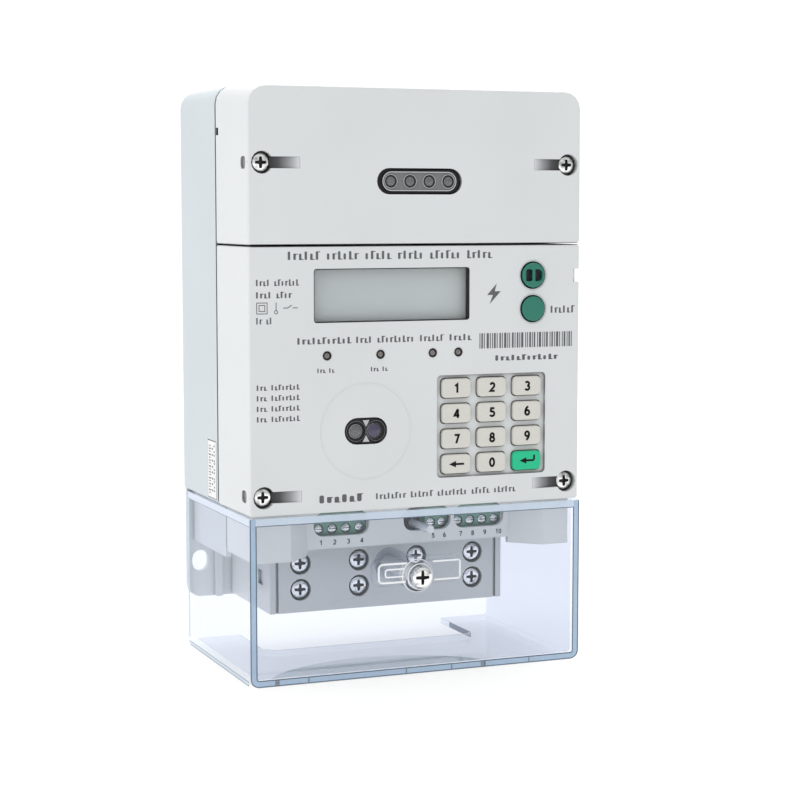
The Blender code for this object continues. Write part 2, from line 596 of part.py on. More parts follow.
def make_indicators():
    """Four domed light emitting diodes, the optical port and the module's light window."""
    profile = [
        (-74.6, 0.7), (-76.2, 0.7), (-76.3, 1.9), (-77.1, 1.9), (-77.2, LED_RADIUS),
        (-80.6, LED_RADIUS), (-81.1, 1.1), (-81.4, 0.45),
    ]
    for number, x in enumerate(LED_PLACES, 1):
        part(f"status_led_{number}", "led_lens", turned(x, LED_Z, profile, 12), (x, -81.4, LED_Z))
    x, z = OPTICAL_X, OPTICAL_Z
    window = dark_window("optical_window", x, z, 15.8, 9.0, FRONT + 0.7, -76.9)
    lens = [(-79.9, 2.3), (-80.5, 1.9), (-80.8, 0.8)]
    add(window, *on_both_sides(lambda side: turned(x + side * 3.6, z, lens)))
    plate = part("optical_plate", "plated_steel", shaft(x, z, OPTICAL_RING - 1.4, BEHIND_FACE, -76.6, 32))
    cut(plate, prism(slab(x, z, 19.4, 12.6, 6.2, 5), -79.5, -75.0))
    window = dark_window("module_window", 0.0, MODULE_WINDOW_Z, 32.2, 8.6, FRONT + 1.3, -76.6)
    lens = [(-79.0, 2.2), (-80.1, 1.9), (-80.5, 0.8)]
    places = [MODULE_LENS_PITCH * (index - 1.5) for index in range(4)]
    add(window, *[turned(x, MODULE_WINDOW_Z, lens, 12) for x in places])


def make_electronics():
    """Boards and the parts on them, inside the casing."""
    part("main_board", "circuit_board", box(-57.8, 57.8, -74.3, -72.7, 74.5, 151.5))
    part("module_board", "circuit_board", box(-52.0, 52.0, -60.0, -58.4, 162.0, 206.0))
    relay = part("latching_relay", "black_plastic", box(-44.0, -6.0, -4.0, -23.0, 80.0, 112.0))
    add(relay, box(-40.0, -30.0, -10.0, -14.0, 76.0, 81.0), box(-16.5, -7.0, -10.0, -14.0, 76.0, 81.0))
    shunt = part("current_shunt", "brass", box(8.0, 40.0, -16.0, -19.0, 79.0, 91.0))
    cut(shunt, box(19.0, 29.0, -14.0, -21.0, 77.0, 83.0))
    part("supply_transformer", "black_plastic", box(10.0, 38.0, -72.4, -52.0, 118.0, 142.0))
    part("backup_battery", "label_film", sideways(circle(-63.8, 98.0, 8.4), -48.0, -22.0))
    part("cover_open_switch", "black_plastic", box(0.8, 7.9, -59.4, -51.0, 48.5, 56.5))


def make_wall_side():
    """The hanger that slides up out of the base's back, and the label on its left side."""
    plate = slab(0.0, HANGER_LOW + 17.5, 2 * HANGER_HALF, 35.0, 2.5)
    hanger = part("wall_hanger", "plated_steel", prism(plate, -1.35, -3.0), (0.0, -3.0, HANGER_LOW))
    cut(hanger, prism(slab(0.0, HANGER_HOLE_Z, 5.4, 7.6, 2.6, 4), 0.0, -4.5))
    label = box(
        -HALF_WIDTH + 0.15, -HALF_WIDTH - 0.05, LABEL_BACK - 0.3, LABEL_FRONT + 0.3,
        LABEL_LOW + 0.3, LABEL_HIGH - 0.3,
    )
    part("rating_label", "label_film", label)


def main():
    for thing in list(bpy.data.objects):
        bpy.data.objects.remove(thing)
    origin = bpy.data.objects.new("meter_origin", None)
    origin.location = (0.0, 0.0, -ORIGIN_HEIGHT * MM)
    bpy.context.scene.collection.objects.link(origin)
    make_rear_base()
    make_front_housing()
    make_module_cover()
    make_terminal_cover()
    make_gasket()
    make_terminal_block()
    make_terminals()
    make_screws()
    make_aux_blocks()
    make_display()
    make_keys()
    make_buttons()
    make_indicators()
    make_electronics()
    make_wall_side()


main()
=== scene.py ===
import json
import math

import bmesh
import bpy
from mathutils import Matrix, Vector

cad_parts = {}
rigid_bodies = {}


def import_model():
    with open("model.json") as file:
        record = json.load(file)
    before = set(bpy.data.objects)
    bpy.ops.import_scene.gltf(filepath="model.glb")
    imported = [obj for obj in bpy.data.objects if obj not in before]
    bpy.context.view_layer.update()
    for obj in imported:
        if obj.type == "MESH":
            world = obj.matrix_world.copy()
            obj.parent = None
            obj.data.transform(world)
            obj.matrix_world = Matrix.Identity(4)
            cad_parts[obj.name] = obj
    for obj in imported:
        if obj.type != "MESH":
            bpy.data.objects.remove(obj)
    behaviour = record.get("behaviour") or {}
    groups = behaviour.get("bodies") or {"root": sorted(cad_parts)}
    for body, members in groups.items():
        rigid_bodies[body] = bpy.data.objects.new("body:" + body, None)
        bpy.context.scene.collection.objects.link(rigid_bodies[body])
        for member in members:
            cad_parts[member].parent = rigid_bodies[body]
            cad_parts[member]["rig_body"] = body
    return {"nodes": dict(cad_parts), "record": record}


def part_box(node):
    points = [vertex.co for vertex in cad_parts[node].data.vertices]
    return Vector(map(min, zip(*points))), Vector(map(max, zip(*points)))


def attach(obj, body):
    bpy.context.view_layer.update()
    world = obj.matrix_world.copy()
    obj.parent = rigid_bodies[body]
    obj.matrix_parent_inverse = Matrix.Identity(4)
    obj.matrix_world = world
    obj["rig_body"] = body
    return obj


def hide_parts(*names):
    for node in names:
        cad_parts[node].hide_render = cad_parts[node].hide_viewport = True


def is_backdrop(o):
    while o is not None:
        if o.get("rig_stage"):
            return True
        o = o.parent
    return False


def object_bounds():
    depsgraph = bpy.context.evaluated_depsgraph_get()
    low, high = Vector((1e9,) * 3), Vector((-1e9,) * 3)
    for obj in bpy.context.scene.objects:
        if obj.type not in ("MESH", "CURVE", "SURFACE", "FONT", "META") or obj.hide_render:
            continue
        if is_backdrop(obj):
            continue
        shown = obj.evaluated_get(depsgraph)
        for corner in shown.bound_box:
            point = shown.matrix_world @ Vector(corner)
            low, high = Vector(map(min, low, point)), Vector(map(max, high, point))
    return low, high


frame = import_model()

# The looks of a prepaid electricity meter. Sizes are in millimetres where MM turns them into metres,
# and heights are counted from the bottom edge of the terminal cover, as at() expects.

MM = 0.001
CAD_LOW, CAD_HIGH = (Vector(corner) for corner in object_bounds())
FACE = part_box("front_housing")[0].y / MM
TAU = 2 * math.pi

WELD_DISTANCE = 2e-6  # metres
SLIVER_HEIGHT = 8e-6  # metres
FLAT_COSINE = math.cos(math.radians(0.6))  # faces this near to one plane count as one flat region
SOFT_ANGLE = math.radians(40)  # sharper edges than this stay sharp
SCREW_ANGLE = math.radians(32)
# The painted shade in crevices: how far, in metres, crowding surfaces darken moulded plastic's colour.
CREVICE_SHADE_REACH = 0.0026  # metres over which crowding darkens moulded plastic


def at(x, y, height):
    """A point in metres from millimetres across, in depth and above the bottom edge."""
    return Vector((x * MM, y * MM, CAD_LOW.z + height * MM))


def middle(node):
    """The middle of a CAD node, as (across, depth, height) in millimetres."""
    low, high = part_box(node)
    centre = (low + high) / 2 - Vector((0, 0, CAD_LOW.z))
    return centre / MM


def front(node):
    """The depth of a CAD node's foremost point, in millimetres."""
    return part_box(node)[0].y / MM


# ---------------------------------------------------------------- materials


def shader_of(name):
    """A new node material: its nodes, its links and its Principled shader."""
    made = bpy.data.materials.new(name)
    made.use_nodes = True
    tree = made.node_tree
    return made, tree.nodes, tree.links, tree.nodes["Principled BSDF"]


def dial(node, values):
    """Sets a node's inputs by name."""
    for name, value in values.items():
        node.inputs[name].default_value = value


def noise(nodes, links, scale, detail=2.0, roughness=0.5):
    """Noise over the object's own coordinates; scale is in features per metre."""
    place = nodes.new("ShaderNodeTexCoord")
    texture = nodes.new("ShaderNodeTexNoise")
    dial(texture, {"Scale": scale, "Detail": detail, "Roughness": roughness})
    links.new(place.outputs["Object"], texture.inputs["Vector"])
    return texture.outputs["Fac"]


def ramp(nodes, links, source, stops):
    """A colour ramp; stops are (position, colour)."""
    made = nodes.new("ShaderNodeValToRGB")
    elements = made.color_ramp.elements
    while len(elements) < len(stops):
        elements.new(0.5)
    for element, (position, colour) in zip(elements, stops):
        element.position = position
        element.color = (*colour, 1.0)
    links.new(source, made.inputs["Fac"])
    return made.outputs["Color"]


def spread(nodes, links, source, low, high, start=0.3, end=0.7):
    """The source's values from start to end mapped to low..high."""
    made = nodes.new("ShaderNodeMapRange")
    dial(made, {"From Min": start, "From Max": end, "To Min": low, "To Max": high})
    links.new(source, made.inputs["Value"])
    return made.outputs["Result"]


def painted(nodes, links, shader, source, stops):
    """Colours the shader from a ramp over the source."""
    links.new(ramp(nodes, links, source, stops), shader.inputs["Base Color"])


def glossed(nodes, links, shader, source, low, high):
    """Makes the shader's roughness follow the source, from low to high."""
    links.new(spread(nodes, links, source, low, high), shader.inputs["Roughness"])


def mixed(nodes, links, share, first, second):
    """A mix of two shaders: all of the first where the share is 0, all of the second where it is 1."""
    made = nodes.new("ShaderNodeMixShader")
    links.new(share, made.inputs["Fac"])
    links.new(first.outputs[0], made.inputs[1])
    links.new(second.outputs[0], made.inputs[2])
    return made


def bump(nodes, links, shader, layers):
    """Stacked bumps; layers are (height source, strength, distance in metres)."""
    normal = None
    for source, strength, distance in layers:
        made = nodes.new("ShaderNodeBump")
        made.inputs["Strength"].default_value = strength
        made.inputs["Distance"].default_value = distance
        links.new(source, made.inputs["Height"])
        if normal:
            links.new(normal, made.inputs["Normal"])
        normal = made.outputs["Normal"]
    links.new(normal, shader.inputs["Normal"])


def shade(colour, factor):
    return tuple(min(1.0, channel * factor) for channel in colour)


def crevices(nodes, links, source, distance, darkest):
    """Painted shade: the colour darkened where other surfaces crowd in, within the distance in metres.
    """
    open_sky = nodes.new("ShaderNodeAmbientOcclusion")
    open_sky.samples = 6
    open_sky.inputs["Distance"].default_value = distance
    share = spread(nodes, links, open_sky.outputs["AO"], darkest, 1.0, 0.25, 0.85)
    scaled = nodes.new("ShaderNodeVectorMath")
    scaled.operation = "SCALE"
    links.new(source, scaled.inputs[0])
    links.new(share, scaled.inputs["Scale"])
    return scaled.outputs["Vector"]


def moulded(name, colour, roughness=0.42, grain=2600.0, depth=0.000018):
    """Moulded plastic: fine spark-eroded grain, slow colour drift, uneven gloss and painted shade in
    crevices.
    """
    made, nodes, links, shader = shader_of(name)
    drift = noise(nodes, links, 22.0, 3.0)
    colours = ramp(nodes, links, drift, [(0.3, shade(colour, 0.98)), (0.7, shade(colour, 1.02))])
    # Painted shade: the colour darkens where other surfaces crowd in.
    links.new(crevices(nodes, links, colours, CREVICE_SHADE_REACH, 0.14), shader.inputs["Base Color"])
    grains = noise(nodes, links, grain, 3.0, 0.6)
    glossed(nodes, links, shader, grains, roughness - 0.05, roughness + 0.06)
    waves = noise(nodes, links, 60.0, 1.0)
    bump(nodes, links, shader, [(grains, 0.35, depth), (waves, 0.12, 0.00012)])
    return made


def metal(name, colour, roughness, grain, streak=0.12):
    """Bright metal with fine plating grain, slightly dulled in patches, with painted shade in crevices.
    """
    made, nodes, links, shader = shader_of(name)
    shader.inputs["Metallic"].default_value = 1.0
    patches = noise(nodes, links, 520.0, 3.0)
    colours = ramp(nodes, links, patches, [(0.34, shade(colour, 1 - streak)), (0.5, colour)])
    # Painted shade: the colour darkens in crevices such as a screw's cross recess.
    links.new(crevices(nodes, links, colours, 0.0012, 0.2), shader.inputs["Base Color"])
    grains = noise(nodes, links, grain, 4.0, 0.65)
    glossed(nodes, links, shader, grains, roughness * 0.75, roughness * 1.35)
    bump(nodes, links, shader, [(grains, 0.4, 0.00001)])
    return made


def rubber(name, colour, roughness=0.6):
    """Silicone rubber: matt, faintly dusty, with a soft bloom and painted shade in crevices."""
    made, nodes, links, shader = shader_of(name)
    dust = noise(nodes, links, 900.0, 4.0, 0.7)
    colours = ramp(nodes, links, dust, [(0.35, shade(colour, 0.975)), (0.7, shade(colour, 1.02))])
    # Painted shade: the colour darkens where other surfaces crowd in, as between keys.
    links.new(crevices(nodes, links, colours, 0.0016, 0.35), shader.inputs["Base Color"])
    glossed(nodes, links, shader, dust, roughness - 0.06, roughness + 0.08)
    shader.inputs["Sheen Weight"].default_value = 0.15
    grains = noise(nodes, links, 3600.0, 2.0)
    bump(nodes, links, shader, [(grains, 0.3, 0.000015)])
    return made


def clear(name, tint, body, facing_share, rim_share):
    """Thin clear plastic: open face on, pale and shiny edge on, and light passes through it."""
    made, nodes, links, shader = shader_of(name)
    smears = noise(nodes, links, 45.0, 3.0)
    painted(nodes, links, shader, smears, [(0.3, shade(body, 0.97)), (0.7, shade(body, 1.03))])
    glossed(nodes, links, shader, smears, 0.03, 0.07)
    dial(shader, {"Coat Weight": 0.8, "Coat Roughness": 0.015})
    waves = noise(nodes, links, 30.0, 1.0)
    bump(nodes, links, shader, [(waves, 0.08, 0.0001)])
    facing = nodes.new("ShaderNodeLayerWeight")
    facing.inputs["Blend"].default_value = 0.5
    by_angle = ((0.0, facing_share), (0.62, facing_share * 1.8), (0.97, rim_share))
    stops = [(place, (share, share, share)) for place, share in by_angle]
    shares = ramp(nodes, links, facing.outputs["Facing"], stops)
    through = nodes.new("ShaderNodeBsdfTransparent")
    through.inputs["Color"].default_value = (*tint, 1.0)
    seen = mixed(nodes, links, shares, through, shader)
    passing = nodes.new("ShaderNodeBsdfTransparent")
    passing.inputs["Color"].default_value = (0.97, 0.97, 0.97, 1.0)
    rays = nodes.new("ShaderNodeLightPath")
    for kind in ("Is Diffuse Ray", "Is Shadow Ray"):
        seen = mixed(nodes, links, rays.outputs[kind], seen, passing)
    links.new(seen.outputs[0], nodes["Material Output"].inputs["Surface"])
    return made


def dark_lens(name, colour, roughness=0.06):
    """Polished dark plastic with a clear coat and fine dust."""
    made, nodes, links, shader = shader_of(name)
    dust = noise(nodes, links, 1500.0, 3.0)
    painted(nodes, links, shader, dust, [(0.4, shade(colour, 0.8)), (0.75, shade(colour, 1.3))])
    glossed(nodes, links, shader, dust, roughness, roughness + 0.08)
    dial(shader, {"Coat Weight": 0.6, "Coat Roughness": 0.03})
    bump(nodes, links, shader, [(dust, 0.1, 0.000008)])
    return made


def printed(name, colour, roughness=0.5):
    """Printing ink with a slightly broken edge to its gloss."""
    made, nodes, links, shader = shader_of(name)
    specks = noise(nodes, links, 4200.0, 2.0)
    painted(nodes, links, shader, specks, [(0.3, shade(colour, 0.85)), (0.75, shade(colour, 1.25))])
    glossed(nodes, links, shader, specks, roughness - 0.08, roughness + 0.1)
    shader.inputs["Specular IOR Level"].default_value = 0.2
    return made


def board(name):
    """Green solder mask over faint copper tracks."""
    made, nodes, links, shader = shader_of(name)
    place = nodes.new("ShaderNodeTexCoord")
    tracks = nodes.new("ShaderNodeTexBrick")
    dial(tracks, {
        "Scale": 260.0, "Color1": (0.012, 0.16, 0.05, 1.0),
        "Color2": (0.02, 0.22, 0.07, 1.0), "Mortar": (0.008, 0.09, 0.03, 1.0),
    })
    links.new(place.outputs["Object"], tracks.inputs["Vector"])
    links.new(tracks.outputs["Color"], shader.inputs["Base Color"])
    weave = noise(nodes, links, 1800.0, 2.0)
    glossed(nodes, links, shader, weave, 0.25, 0.45)
    bump(nodes, links, shader, [(weave, 0.3, 0.00002)])
    return made


def display(name):
    """Grey-green liquid crystal glass: a satin polariser with a faint vertical drift."""
    made, nodes, links, shader = shader_of(name)
    drift = noise(nodes, links, 16.0, 2.0)
    painted(nodes, links, shader, drift, [(0.3, (0.51, 0.555, 0.55)), (0.7, (0.56, 0.605, 0.60))])
    film = noise(nodes, links, 5200.0, 2.0)
    glossed(nodes, links, shader, film, 0.28, 0.4)
    bump(nodes, links, shader, [(film, 0.15, 0.000008)])
    return made


LOOKS = {
    "housing_plastic": moulded("housing_grey", (0.70, 0.72, 0.725), 0.40),
    "base_plastic": moulded("base_grey", (0.58, 0.63, 0.66), 0.44),
    "clear_plastic": clear("cover_clear", (0.915, 0.93, 0.965), (0.80, 0.84, 0.93), 0.035, 0.5),
    "block_plastic": moulded("block_grey", (0.64, 0.665, 0.69), 0.3, 1800.0),
    "brass": metal("brass", (0.80, 0.58, 0.25), 0.28, 2400.0),
    "plated_steel": metal("plated_steel", (0.95, 0.95, 0.94), 0.13, 3000.0, streak=0.5),
    "key_rubber": rubber("key_grey", (0.66, 0.65, 0.60)),
    "enter_rubber": rubber("enter_green", (0.003, 0.53, 0.26)),
    "button_plastic": moulded("button_green", (0.014, 0.18, 0.125), 0.34, 2200.0),
    "display_glass": display("display_glass"),
    "dark_window": dark_lens("infrared_black", (0.02, 0.019, 0.022)),
    "led_lens": dark_lens("led_grey", (0.17, 0.15, 0.14)),
    "green_block": moulded("connector_green", (0.13, 0.30, 0.22), 0.4, 2000.0),
    "circuit_board": board("circuit_board"),
    "black_plastic": moulded("black_plastic", (0.025, 0.025, 0.026), 0.45),
    "seal_rubber": rubber("seal_black", (0.035, 0.036, 0.04), 0.7),
    "label_film": moulded("label_white", (0.84, 0.84, 0.83), 0.5, 1500.0, 0.000008),
}
CLEAR_PANE = clear("display_pane", (0.995, 0.997, 1.0), (0.85, 0.88, 0.9), 0.015, 0.2)
INK = printed("ink_grey", (0.12, 0.125, 0.13))
EDGE_BAND = clear("cover_edge_band", (0.80, 0.88, 0.97), (0.42, 0.55, 0.68), 0.6, 0.8)
# Dark lines of painted shade along the faces of the clear cover's walls seen end on.
EDGE_SHADE_LINE = clear("cover_edge_shade_line", (0.5, 0.6, 0.7), (0.07, 0.11, 0.16), 0.93, 0.97)
FLOOR_ARCH = clear("cover_floor_arch", (0.86, 0.90, 0.93), (0.58, 0.64, 0.70), 0.35, 0.55)
RIM_BAND = clear("cover_rim_band", (0.93, 0.96, 1.0), (0.66, 0.75, 0.84), 0.6, 0.7)
# Pale clear plastic that paints the light refracted through the hub and the tamper pin.
HUB_PAINTED_LIGHT = clear("cover_hub_painted_light", (0.97, 0.98, 1.0), (0.80, 0.84, 0.88), 0.55, 0.75)
# Bright lines: painted highlights along the hub's rings and wing edges.
HUB_HIGHLIGHT = clear("cover_hub_highlight", (0.97, 0.98, 1.0), (0.95, 0.96, 0.98), 0.8, 0.9)
ZINC = metal("zinc_plating", (0.78, 0.79, 0.80), 0.3, 2600.0, streak=0.12)
SPECIAL_LOOKS = {"lcd_window": CLEAR_PANE, "wall_hanger": ZINC, "optical_plate": ZINC}
CLEAR_LOOKS = (
    LOOKS["clear_plastic"], CLEAR_PANE, EDGE_BAND, EDGE_SHADE_LINE, FLOOR_ARCH, RIM_BAND, HUB_PAINTED_LIGHT, HUB_HIGHLIGHT,
)
INK_BLACK = printed("ink_black", (0.006, 0.006, 0.007), 0.55)
# Near-black: the black plastic of the optical port and module window, and painted shade in screw
# recesses, button pockets, lens gaps, the LED holes and the display opening.
BLACK_AND_PAINTED_SHADE = moulded("black_and_painted_shade", (0.008, 0.008, 0.009), 0.6)
GREY_LENS = dark_lens("lens_grey", (0.12, 0.125, 0.13))
VIOLET_LENS = dark_lens("lens_violet", (0.05, 0.04, 0.09), 0.03)
# Smoke grey: the colour of the dark windows, tray and cover ticks, and painted shade inside the seal
# slots.
SMOKE_GREY_AND_SHADE = moulded("window_grey_and_painted_shade", (0.17, 0.175, 0.18), 0.25, 1500.0)
PALE_RIM = moulded("window_rim", (0.48, 0.49, 0.5), 0.3, 1500.0)

SLOT_OF = {entry["node"]: entry["material_slot"] for entry in frame["record"]["subparts"]}
BODY_OF = {node: thing["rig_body"] for node, thing in frame["nodes"].items()}


# ---------------------------------------------------------------- mesh helpers


def arc(cx, cz, radius, start, end, steps):
    """Points on an arc between two angles, in quarter turns."""
    turns = [start + (end - start) * step / steps for step in range(steps + 1)]
    return [
        (cx + radius * math.cos(turn * math.pi / 2), cz + radius * math.sin(turn * math.pi / 2))
        for turn in turns
    ]


def slab(cx, cz, width, height, radius, steps=6):
    """A rounded rectangle's outline about its centre."""
    x, z = width / 2 - radius, height / 2 - radius
    return (
        arc(cx + x, cz - z, radius, 3, 4, steps) + arc(cx + x, cz + z, radius, 0, 1, steps)
        + arc(cx - x, cz + z, radius, 1, 2, steps) + arc(cx - x, cz - z, radius, 2, 3, steps)
    )


def circle(cx, cz, radius, count=32):
    turns = [TAU * index / count for index in range(count)]
    return [(cx + radius * math.cos(turn), cz + radius * math.sin(turn)) for turn in turns]


def cross(cx, cz, arm, half):
    """A plus-shaped outline whose arms narrow a little outwards."""
    tip = half * 0.75
    shape = [
        (arm, -tip), (arm, tip), (half, half), (tip, arm), (-tip, arm), (-half, half),
        (-arm, tip), (-arm, -tip), (-half, -half), (-tip, -arm), (tip, -arm), (half, -half),
    ]
    return [(cx + x, cz + z) for x, z in shape]


def turned(cx, cz, profile, count=32):
    """Rings of a round shape about a line along Y, from (depth, radius) pairs."""
    return [[at(x, y, z) for x, z in circle(cx, cz, radius, count)] for y, radius in profile]


def prism(outline, y0, y1):
    return [[at(x, y, z) for x, z in outline] for y in (y0, y1)]


def sheet_box(x0, x1, y0, y1, z0, z1):
    return prism([(x0, z0), (x1, z0), (x1, z1), (x0, z1)], y0, y1)


def dome(cx, cz, base, rise, radius, count=24, steps=5):
    """Rings of a low dome that stands on depth base and rises towards the front."""
    rings = []
    for step in range(steps + 1):
        turn = math.pi / 2 * step / (steps + 0.35)
        rings.append((base - rise * math.sin(turn), radius * math.cos(turn)))
    return turned(cx, cz, rings, count)


def fill(mesh, solids, hooped=False):
    """Skins each solid's rings of points: capped at both ends, or joined last to first when hooped."""
    made = bmesh.new()
    for rings in solids:
        loops = [[made.verts.new(point) for point in ring] for ring in rings]
        if not hooped:
            made.faces.new(loops[0])
            made.faces.new(loops[-1])
        count = len(loops[0])
        for near, far in zip(loops, loops[1:] + loops[:1] * hooped):
            for index in range(count):
                after = (index + 1) % count
                made.faces.new((near[index], near[after], far[after], far[index]))
    bmesh.ops.recalc_face_normals(made, faces=made.faces)
    made.to_mesh(mesh)
    made.free()


def linked(name, data):
    """A new object in the scene that holds the mesh, lamp or camera."""
    thing = bpy.data.objects.new(name, data)
    bpy.context.scene.collection.objects.link(thing)
    return thing


def smooth(mesh, angle=SOFT_ANGLE):
    mesh.shade_smooth()
    mesh.set_sharp_from_angle(angle=angle)


def piece(name, solids, look, body, replaced=(), hooped=False):
    """A new mesh piece on a body, in a look, standing for the replaced CAD nodes."""
    mesh = bpy.data.meshes.new(name)
    fill(mesh, solids, hooped)
    thing = linked(name, mesh)
    mesh.materials.append(look)
    smooth(mesh)
    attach(thing, body)
    if replaced:
        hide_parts(*replaced)
    return thing


def ring_piece(name, hoops, look, body):
    """A piece made of hoops, each with no caps."""
    return piece(name, hoops, look, body, hooped=True)


def apply_modifiers(thing):
    """Writes the evaluated mesh back, so that no modifier is left."""
    graph = bpy.context.evaluated_depsgraph_get()
    mesh = bpy.data.meshes.new_from_object(thing.evaluated_get(graph))
    thing.modifiers.clear()
    old = thing.data
    thing.data = mesh
    bpy.data.meshes.remove(old)


def cut(thing, solids):
    """Cuts solids away for good."""
    mesh = bpy.data.meshes.new("tool")
    fill(mesh, solids)
    tool = linked("tool", mesh)
    step = thing.modifiers.new("step", "BOOLEAN")
    step.operation = "DIFFERENCE"
    step.solver = "EXACT"
    step.object = tool
    bpy.context.view_layer.update()
    apply_modifiers(thing)
    bpy.data.objects.remove(tool)


def regions_of(made):
    """For every face, the area of the flat region that it belongs to."""
    leader = list(range(len(made.faces)))

    def find(index):
        while leader[index] != index:
            leader[index] = leader[leader[index]]
            index = leader[index]
        return index

    for edge in made.edges:
        if len(edge.link_faces) == 2:
            near, far = edge.link_faces
            if near.normal.dot(far.normal) > FLAT_COSINE:
                leader[find(near.index)] = find(far.index)
    areas = {}
    for face in made.faces:
        root = find(face.index)
        areas[root] = areas.get(root, 0.0) + face.calc_area()
    return [areas[find(index)] for index in range(len(made.faces))]


def settle_normals(mesh):
    """Keeps wide flat faces flat: each corner's normal leans to the largest flat region around it."""
    made = bmesh.new()
    made.from_mesh(mesh)
    made.faces.ensure_lookup_table()
    areas = regions_of(made)
    limit = math.cos(SOFT_ANGLE)
    normals = []
    for face in made.faces:
        for loop in face.loops:
            total = Vector()
            for other in loop.vert.link_faces:
                if other.normal.dot(face.normal) > limit:
                    total += other.normal * areas[other.index]
            normals.append(total.normalized() if total.length else face.normal.copy())
    made.free()
    mesh.shade_smooth()
    mesh.normals_split_custom_set(normals)


def round_edges(thing, width, segments=2, angle=28):
    """Rounds every sharp edge by a small width."""
    made = thing.modifiers.new("edges", "BEVEL")
    made.width = width * MM
    made.segments = segments
    made.limit_method = "ANGLE"
    made.angle_limit = math.radians(angle)
    made.use_clamp_overlap = False
    made.miter_outer = "MITER_ARC"
    bpy.context.view_layer.update()
    apply_modifiers(thing)


def merge_slivers(made):
    """Joins each needle-thin face with the face across its longest edge."""
    edges = []
    for face in made.faces:
        longest = max(face.edges, key=lambda edge: edge.calc_length())
        if 2 * face.calc_area() < SLIVER_HEIGHT * longest.calc_length() and longest not in edges:
            edges.append(longest)
    bmesh.ops.dissolve_edges(made, edges=edges, use_verts=False)


def refined(node, width=0.0, segments=2, look=None):
    """A finer copy of a CAD node: its corners welded and, given a width, its edges slightly rounded."""
    source = frame["nodes"][node]
    made = bmesh.new()
    made.from_mesh(source.data)
    bmesh.ops.remove_doubles(made, verts=made.verts, dist=WELD_DISTANCE)
    merge_slivers(made)
    mesh = bpy.data.meshes.new(f"{node}_fine")
    made.to_mesh(mesh)
    made.free()
    thing = linked(f"{node}_fine", mesh)
    if width:
        round_edges(thing, width, segments)
    settle_normals(thing.data)
    slot = SLOT_OF[node]
    thing.data.materials.clear()
    thing.data.materials.append(look or LOOKS[slot])
    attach(thing, BODY_OF[node])
    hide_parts(node)
    return thing


# ---------------------------------------------------------------- casing


def make_casing():
    for node in ("rear_base", "front_housing", "module_cover"):
        refined(node)
    refined("terminal_block", 0.2)
    refined("terminal_cover", 0.3)
    for side in ("left", "centre", "right"):
        refined(f"aux_terminals_{side}", 0.15)


# ---------------------------------------------------------------- screws


def screw_head(name, node, radius, recess, shank, thickness):
    """A plated pan-head screw with a cross recess and a rolled rim, on its CAD node's axis."""
    arm, half, depth = recess
    x, _, z = middle(node)
    face = front(node)
    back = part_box(node)[1].y / MM
    under = face + thickness
    profile = [
        (back, shank * 0.7), (back - 0.9, shank), (under - 0.12, shank), (under - 0.12, radius * 0.97),
        (under - 0.35, radius), (face + 0.75, radius), (face + 0.4, radius * 0.96),
        (face + 0.2, radius * 0.87), (face + 0.09, radius * 0.68), (face + 0.03, radius * 0.42),
        (face, radius * 0.2),
    ]
    solids = [turned(x, z, profile, 40)]
    thing = piece(name, solids, LOOKS["plated_steel"], BODY_OF[node], (node,))
    thing.data.materials.append(BLACK_AND_PAINTED_SHADE)
    cut(thing, [prism(cross(x, z, arm, half), face - 1, face + depth)])
    # The floor of the cross recess takes the near-black look: painted shade.
    floor = face + depth - 0.02
    for polygon in thing.data.polygons:
        if abs(polygon.center.y / MM - floor) < 0.1 and polygon.normal.y < -0.9:
            polygon.material_index = 1
    smooth(thing.data, SCREW_ANGLE)


def make_screws():
    """A recess is an arm, a half width and a depth; each screw also has its radii and head thickness."""
    clamp_recess, casing_recess = (2.15, 0.62, 1.5), (2.0, 0.62, 1.5)
    for number in range(1, 9):
        screw_head(f"clamp_screw_{number}", f"terminal_screw_{number}", 3.4, clamp_recess, 2.5, 2.6)
    for side in ("left", "right"):
        screw_head(f"casing_screw_{side}", f"housing_screw_{side}", 3.2, casing_recess, 1.6, 2.5)
        screw_head(f"cap_screw_{side}", f"module_screw_{side}", 3.2, casing_recess, 1.6, 2.5)
    screw_head("cover_fixing_screw", "terminal_cover_screw", 3.8, (2.6, 0.65, 1.6), 1.6, 4.5)


def aux_places():
    """The middle of each auxiliary terminal across the meter, from left to right."""
    for side, count in (("left", 4), ("centre", 2), ("right", 4)):
        low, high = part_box(f"aux_terminals_{side}")
        pitch = (high.x - low.x) / MM / count
        for index in range(count):
            yield low.x / MM + (index + 0.5) * pitch


def make_aux_screws():
    """The little plated screws in the wells of the auxiliary terminals, all on the casing."""
    height, face = 52.9, -65.2
    profile = [(-62.05, 1.75), (face + 0.5, 1.75), (face + 0.15, 1.6), (face, 1.3)]
    solids = [turned(x, height, profile, 24) for x in aux_places()]
    thing = piece("aux_terminal_screws", solids, LOOKS["plated_steel"], "housing")
    thing.data.materials.append(BLACK_AND_PAINTED_SHADE)
    cut(thing, [
        sheet_box(x - 1.3, x + 1.3, face - 1, face + 0.5, height - 0.25, height + 0.25)
        for x in aux_places()
    ])
    smooth(thing.data, SCREW_ANGLE)


# ---------------------------------------------------------------- keypad and buttons


def key_names():
    return [f"key_{number}" for number in range(1, 10)] + ["key_back", "key_0", "key_enter"]


def make_keys():
    for name in key_names():
        refined(name, 0.35, 3)
        x, _, z = middle(name)
        if name[4:].isdigit():
            solids = digit(name[4:], x, z, 3.4, 0.8, front(name))
            piece(f"{name}_figure", solids, INK_BLACK, name)
        else:
            arrow(name, x, z)


def sweep(cx, cz, wide, high, start, end, steps=10):
    """Points along part of an ellipse, between two angles in degrees."""
    turns = [math.radians(start + (end - start) * step / steps) for step in range(steps + 1)]
    return [(cx + wide * math.cos(turn), cz + high * math.sin(turn)) for turn in turns]


